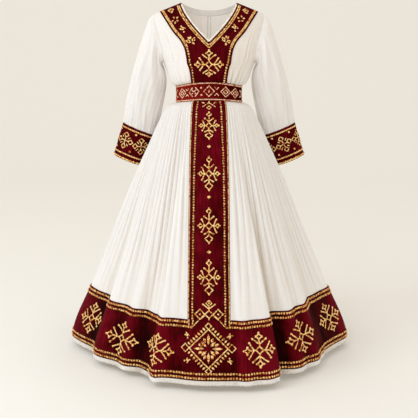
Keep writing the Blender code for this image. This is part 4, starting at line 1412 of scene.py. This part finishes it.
def stitch_belt(thread, belt):
    """The belt's piping and its ring of diamonds, with small marks between them."""
    for edge in ("top", "bottom"):
        path = edge_path(belt, edge, BELT_EDGE_INSET)
        thread.braid(path.on, path.whole(), BELT_EDGE)
    middle = belt.down[-1] * 0.50
    step = np.ptp(belt.across) / BELT_DIAMONDS
    for number in range(-BELT_DIAMONDS // 2, BELT_DIAMONDS // 2):
        fill = OPEN_LOZENGE if number % 4 == 3 else LEAF_LOZENGE
        fill = fill if number % 3 else KNOTTED_LOZENGE
        across = number * step + BELT_SHIFTS.get(number, 0.0)
        thread.chart(belt.on, fill, (across, middle), BELT_DIAMOND_HALF, FINE_STROKE)
        across = (number + 0.5) * step
        if number == 1:
            continue
        if number % 2:
            place = (across, middle)
            thread.chart(belt.on, PAIR_OF_KNOTS, place, BELT_KNOTS_HALF, STROKE * 1.1)
            continue
        for down, turn in ((-CHEVRON_OFFSET, 0.0), (CHEVRON_OFFSET, math.pi)):
            place = (across, middle + down)
            thread.chart(belt.on, CHEVRON, place, CHEVRON_HALF, FINE_STROKE * 0.9, turn)


def stitch_cuff(thread, cuff):
    """A cuff's border lines, crosses and dots."""
    length = cuff.down[-1]
    for down in (CUFF_LINE_INSETS[0], length - CUFF_LINE_INSETS[1]):
        thread.braid(cuff.on, level_line(down, cuff.across[0], cuff.across[-1]), CUFF_LINE)
    path = edge_path(cuff, "bottom", CUFF_EDGE_INSET)
    thread.braid(path.on, path.whole(), CUFF_EDGE)
    step = np.ptp(cuff.across) / CUFF_CROSSES
    first = cuff.across[CUFF_FIRST_CROSS] + step / 2
    for number in range(CUFF_CROSSES):
        across = first + number * step
        turn = 0.5 * math.sin(3.0 * number + 0.6)
        place = (across, length * CUFF_CROSS_SHARE)
        thread.chart(cuff.on, OPEN_CROSS, place, CUFF_CROSS_HALF, FINE_STROKE, turn)
        for down in CUFF_KNOTS:
            thread.chart(cuff.on, KNOT, (across + step / 2, down), 1.0, STROKE * 1.15)


def around(cloth, centre):
    """A flat surface of places across and down from a point, taken onto the cloth there."""
    centre = np.asarray(centre, float)[None]
    found, way = cloth.nearest(centre)
    across = unit(np.cross((0.0, 0.0, 1.0), way[0]))
    down = np.cross(across, way[0])

    def surface(places):
        places = np.asarray(places, float)
        shape = places.shape[:-1]
        flat = places.reshape(-1, 2)
        points = found + flat[:, :1] * across + flat[:, 1:] * down
        on_cloth, ways = cloth.nearest(points)
        return on_cloth.reshape(*shape, 3), ways.reshape(*shape, 3)

    return surface


def neck_lines(panel, inset):
    """Both halves of a line that keeps a distance from the V, as seen from the front."""
    share = np.linspace(0.0, 1.05, 50)
    rise = np.abs(1 - share) ** V_CURVE * np.sign(1 - share)
    edge = np.stack((NECK_HALF * share, -V_DEPTH * rise), axis=1)
    ahead = unit(np.gradient(edge, axis=0))
    edge = edge + np.stack((ahead[:, 1], -ahead[:, 0]), axis=1) * inset
    first = np.array((0.0, edge[0, 1] - edge[0, 0] * ahead[0, 1] / ahead[0, 0]))
    edge = np.concatenate((first[None], edge))
    edge = edge[edge[:, 1] < shoulder_z(edge[:, 0]) - 0.0004]
    right = chest_points(edge[:, 0], edge[:, 1], True)
    paths = []
    for points in (right, right * (-1.0, 1.0, 1.0)):
        ways = panel.nearest(points)[1]
        paths.append(Path(points + ways * BAND_LIFT, ways))
    return paths


def stitch_yoke(thread, panel):
    """The neck panel's border lines, large cross and small motifs."""
    for inset in NECK_LINE_INSETS:
        for path in neck_lines(panel, inset):
            thread.braid(path.on, path.whole(), NECK_LINE)
    for edge, aside in (("first", 1), ("last", -1)):
        outer = edge_path(panel, edge)
        upper = outer.run[-1] * PANEL_BEADS_SHARE
        for inset in PANEL_LINE_INSETS:
            line = outer.moved_aside(aside * inset, panel)
            thread.braid(line.on, line.whole(0.0, line.run[-1] - upper), PANEL_LINE)
        line = outer.moved_aside(aside * PANEL_BEADS_INSET, panel)
        thread.beads(line.on, line.whole(upper), NARROW_BEAD)
    thread.chart(around(panel, YOKE_CROSS), CROSS, (0, 0), YOKE_CROSS_HALF, STROKE)
    for chart, half, turn, *places in YOKE_MOTIFS:
        for place, side in zip(places, (1, -1)):
            surface = around(panel, place)
            thread.chart(surface, chart, (0, 0), half, FINE_STROKE, side * turn)


# ---------------------------------------------------------------- the pieces
LOOKS = {"white_cotton": white_cotton()}
LOOKS.update((name, dyed_band(name, dyes)) for name, dyes in BAND_DYES.items())
LOOKS.update((name, twisted_thread(name, *look)) for name, look in THREADS.items())
STRAND = stitch_shape(6, 3)
FLAT_STRAND = stitch_shape(4, 3)
THICKNESS = {"cotton": COTTON, "cloth": BAND, "band": BELT_CLOTH}
SKIRT_FRONT = "skirt_front_left_cotton"
EDGING = ((0.0004, 0.0058), (0.0090, 0.0016))   # insets from the hem, and widths
EDGING_PITCH = 0.0066
EDGING_GAP = 0.002       # at each end of a panel's edging
FACING_SEAMS = (0.0030, 0.0150)
FACING_GAP = 0.004
PIPING = 0.0070
PIPING_PITCH = 0.0040
PIPING_INSET = -0.0008
PIPING_LIFT = 0.0010
SHEETS = []


def tied(piece, slot, *nodes):
    """Tie a finished piece to the dress."""
    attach(piece, "root")
    if nodes:
        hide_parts(*nodes)
    return piece


def make_sheet(name, cloth, held, rests_on, trims=(), thickness=None):
    """A sheet in its finished cloth. Its name is that of its solid and then its kind."""
    node, kind = name.rsplit("_", 1)
    slot = "white_cotton" if kind == "cotton" else "burgundy_band"
    look = LOOKS["russet_belt" if node == "belt" else slot]
    piece = tied(make_shell(name, cloth, thickness or THICKNESS[kind], look), slot, node)
    SHEETS.append((piece, cloth, held, rests_on, list(trims)))


def declare(piece, cloth, held, rests_on, trims):
    width, length, area = cloth.flat_size()


def make_trim(thread, name, look, slot="burgundy_band", strand=STRAND):
    return tied(thread.make(name, strand, LOOKS[look]), slot)


def gold_trims(name, stitch, *places):
    """A panel's gold stitches, and the dark ones under them, which edge the gold and paint shade
    round it.
    """
    thread = Thread(GOLD_LIFT, shadow_outlined=True)
    stitch(thread, *places)
    gold = "rose_gold_thread" if name == "belt" else "gold_thread"
    return [
        make_trim(thread.outline, name + "_outline", "shadow_outline_thread", strand=FLAT_STRAND),
        make_trim(thread, name + "_gold", gold),
    ]


def build_skirt():
    """The skirt's four panels, with a beaded edge along the hem."""
    plain, cotton, columns = make_skirt_cloth()
    names = ("skirt_back_left", "skirt_front_left", "skirt_front_right", "skirt_back_right")
    ends = [column_at(columns, place) for place in (-HALF_SKIRT, -QUARTER, 0, QUARTER, HALF_SKIRT)]
    for name, first, last in zip(names, ends[:-1], ends[1:]):
        panel = cotton.panel(first, last)
        edging = Thread(0.0)
        for inset, width in EDGING:
            path = edge_path(panel, "bottom", inset)
            edging.beads(path.on, path.whole(EDGING_GAP, EDGING_GAP), width, EDGING_PITCH)
        trim = make_trim(edging, name + "_edging", "white_thread", "white_cotton")
        make_sheet(name + "_cotton", panel, "gathered", "belt_band", [trim])
    return plain, columns


def build_skirt_bands(plain, columns):
    """The hem bands and the centre stripe, which lie on the cotton, with their embroidery."""
    rings = (STRIPE_TOP_RING, BAND_TOP_RING, BAND_BOTTOM_RING)
    start, top, bottom = (sum(SKIRT_STEPS[:ring]) for ring in rings)
    lifted = plain.raised(BAND_LIFT)
    # The bands take the plain sheet's painted shade.
    lifted.hollow = plain.hollow
    centre = column_at(columns, 0)
    hem = lifted.cut(slice(top, bottom + 1), slice(None), closed=True)
    hem.ruled(len(hem.points) // 2, centre)
    for name, *span in (
        ("hem_band_front", -QUARTER, QUARTER),
        ("hem_band_back_left", -HALF_SKIRT, -QUARTER),
        ("hem_band_back_right", QUARTER, HALF_SKIRT),
    ):
        first, last = (column_at(columns, place) for place in span)
        ends = (hem.across[first] + EDGING_GAP, hem.across[last] - EDGING_GAP)
        trims = gold_trims(name, stitch_hem, hem, *ends)
        make_sheet(name + "_cloth", hem.panel(first, last), "hung", SKIRT_FRONT, trims)
    stripe = lifted.cut(slice(start, top + 1), within(columns, STRIPE_COLUMNS))
    stripe.ruled(len(stripe.points) // 2, STRIPE_COLUMNS * SKIRT_FINENESS)
    trims = gold_trims("centre_stripe", stitch_stripe, stripe)
    make_sheet("centre_stripe_cloth", stripe, "hung", SKIRT_FRONT, trims)


def build_belt():
    angles = np.linspace(-math.pi, math.pi, BELT_COLUMNS + 1)
    keys = np.array([ring_points(ring, angles) for ring in BELT_RINGS])
    places = lengths_along(keys[:, BELT_COLUMNS // 4])
    belt = Cloth(between(places, keys, steps_between(places, BELT_STEPS)), closed=True)
    belt.ruled(sum(BELT_STEPS) // 2, BELT_COLUMNS // 2)
    # Painted shade on the belt's +X side, and painted light on its -X side.
    belt.hollow = BELT_SHADE * belt.points[..., 0] / BELT_RINGS[0].half_width
    trims = gold_trims("belt", stitch_belt, belt)
    make_sheet("belt_band", belt, "stretched", SKIRT_FRONT, trims)


def build_bodice():
    """The bodice's front and back, the facing inside the back neck, and the neck panel."""
    plain_front, front, columns = make_bodice_cloth(True)
    plain_back, back, columns = make_bodice_cloth(False)
    middle = column_at(columns, 0)
    make_sheet("bodice_front_cotton", front, "gathered", "belt_band")
    for side, span in (("right", (0, middle)), ("left", (middle, 2 * middle))):
        make_sheet(f"bodice_back_{side}_cotton", back.panel(*span), "gathered", "belt_band")

    facing = plain_back.cut(slice(0, FACING_ROWS + 1), within(columns, NECK_COLUMNS))
    facing = facing.raised(FACING_LIFT)
    inside = facing.inner_face(FACING)
    inner_back = plain_back.inner_face(COTTON + SEAM)
    seam = Thread(0.0)
    for inset in FACING_SEAMS:
        path = edge_path(inside, "top", inset)
        seam.beads(path.on, path.whole(FACING_GAP, FACING_GAP), TOPSTITCH, TOPSTITCH_PITCH)
    for aside in (-SEAM_ALLOWANCE, SEAM_ALLOWANCE):
        line = plain_back.points[FACING_ROWS:CHEST_ROWS, middle] + (aside, 0.0, 0.0)
        path = Path(*inner_back.nearest(line))
        seam.cord(path.on, path.whole(), TOPSTITCH * 1.6, CORD_PITCH)
    trim = make_trim(seam, "back_neck_facing_stitching", "white_thread", "white_cotton")
    make_sheet(
        "back_neck_facing_cotton", facing, "hung", "bodice_back_left_cotton", [trim], FACING
    )

    rows = slice(0, CHEST_ROWS + sum(BODICE_STEPS[:4]) + 1)
    panel = plain_front.cut(rows, within(columns, PANEL_COLUMNS)).raised(BAND_LIFT)
    piping = Thread(PIPING_LIFT)
    for path in neck_lines(panel, PIPING_INSET):
        piping.cord(path.on, path.whole(), PIPING, PIPING_PITCH)
    trims = gold_trims("neck_panel", stitch_yoke, panel)
    trims.append(make_trim(piping, "neck_panel_piping", "cream_cord"))
    make_sheet("neck_panel_cloth", panel, "hung", "bodice_front_cotton", trims)
    return plain_front, plain_back


def build_sleeves(plain_front, plain_back):
    sleeve, cuff = make_sleeve_cloth(plain_front, plain_back)
    for side in ("right", "left"):
        if side == "left":
            sleeve, cuff = on_left(sleeve), on_left(cuff)
        cuff.ruled(CUFF_ROWS // 2, 0)
        trims = gold_trims("cuff_" + side, stitch_cuff, cuff)
        make_sheet(f"sleeve_{side}_cotton", sleeve, "gathered", "bodice_front_cotton")
        make_sheet(f"cuff_{side}_band", cuff, "stretched", f"sleeve_{side}_cotton", trims)


# ---------------------------------------------------------------- studio
FLOOR_PLACE = (0, 1.0, -1.409)
FLOOR_SIZE = (18, 11, 1)
FLOOR_BACK = 6.4         # only the floor's back edge lies beyond it
WALL_HEIGHT = 6
WALL_BEND = 2.6
CAMERA_PLACE = (0.0, -3.8, -0.015)
CAMERA_PITCH = 12.0
CAMERA_LENS = 81.869
# Each light's name, place, aim, size, power and colour.
LIGHTS = (
    ("key", (-3.2, -2.1, 2.0), (0, 0, -0.7), 2.2, 60.0, (0.84, 0.925, 1.0)),
    ("fill", (2.4, -3.0, 0.2), (0, 0, -0.6), 2.5, 5.0, (1.0, 0.94, 0.84)),
    ("front", (-1.5, -3.7, 2.2), (0, 0, -0.5), 1.4, 21.0, (0.88, 0.945, 1.0)),
    ("inner", (0, -0.03, -0.31), (0, 0.08, -0.02), 0.08, 0.12, (1.0, 0.95, 0.88)),
)


def make_floor():
    """A plain pale floor that curves up into a wall."""
    bpy.ops.object.select_all(action="DESELECT")
    bpy.ops.mesh.primitive_plane_add(size=1.0, location=FLOOR_PLACE)
    floor = bpy.context.object
    floor.name = "studio"
    floor.scale = FLOOR_SIZE
    bpy.ops.object.transform_apply(location=True, rotation=True, scale=True)
    bpy.ops.object.mode_set(mode="EDIT")
    bpy.ops.mesh.select_mode(type="EDGE")
    bpy.ops.mesh.select_all(action="DESELECT")
    bpy.ops.object.mode_set(mode="OBJECT")
    for edge in floor.data.edges:
        edge.select = all(floor.data.vertices[i].co.y > FLOOR_BACK for i in edge.vertices)
    bpy.ops.object.mode_set(mode="EDIT")
    bpy.ops.mesh.extrude_region_move(TRANSFORM_OT_translate={"value": (0, 0, WALL_HEIGHT)})
    bpy.ops.object.mode_set(mode="OBJECT")
    bend = floor.modifiers.new("bend", "BEVEL")
    bend.width = WALL_BEND
    bend.segments = 24
    bend.limit_method = "ANGLE"
    apply_modifier(floor, bend)
    bpy.ops.object.shade_smooth()
    paper = Finish(
        "studio_paper", Roughness=0.95, Base_Color=(0.806, 0.810, 0.804, 1.0),
        Emission_Color=(0.108, 0.097, 0.080, 1.0), Emission_Strength=1.0, Specular_IOR_Level=0.1,
    )
    floor.data.materials.append(paper.material)


def add_object(name, data, place, turn):
    holder = bpy.data.objects.new(name, data)
    bpy.context.scene.collection.objects.link(holder)
    holder.location = place
    holder.rotation_euler = turn
    return holder


def make_studio():
    """The floor, soft light and the camera."""
    make_floor()
    world = bpy.data.worlds.new("soft_room")
    world.use_nodes = True
    background = world.node_tree.nodes["Background"]
    background.inputs["Color"].default_value = (1.0, 0.930, 0.825, 1.0)
    background.inputs["Strength"].default_value = 0.85
    bpy.context.scene.world = world
    for name, place, aim, size, power, colour in LIGHTS:
        light = bpy.data.lights.new(name, "AREA")
        light.shape = "DISK"
        light.size = size
        light.energy = power
        light.color = colour
        way = np.array(aim) - np.array(place)
        pitch = math.acos(-way[2] / np.linalg.norm(way))
        turn = (pitch, 0, math.atan2(-way[0], way[1]))
        add_object(name, light, place, turn).visible_camera = False
    camera = bpy.data.cameras.new("camera")
    camera.lens = CAMERA_LENS
    camera.sensor_width = 36.0
    turn = (math.radians(90 - CAMERA_PITCH), 0, 0)
    bpy.context.scene.camera = add_object("camera", camera, CAMERA_PLACE, turn)
    bpy.context.scene.view_settings.view_transform = "Standard"


build_skirt_bands(*build_skirt())
build_belt()
build_sleeves(*build_bodice())
for sheet in SHEETS:
    declare(*sheet)
make_studio()
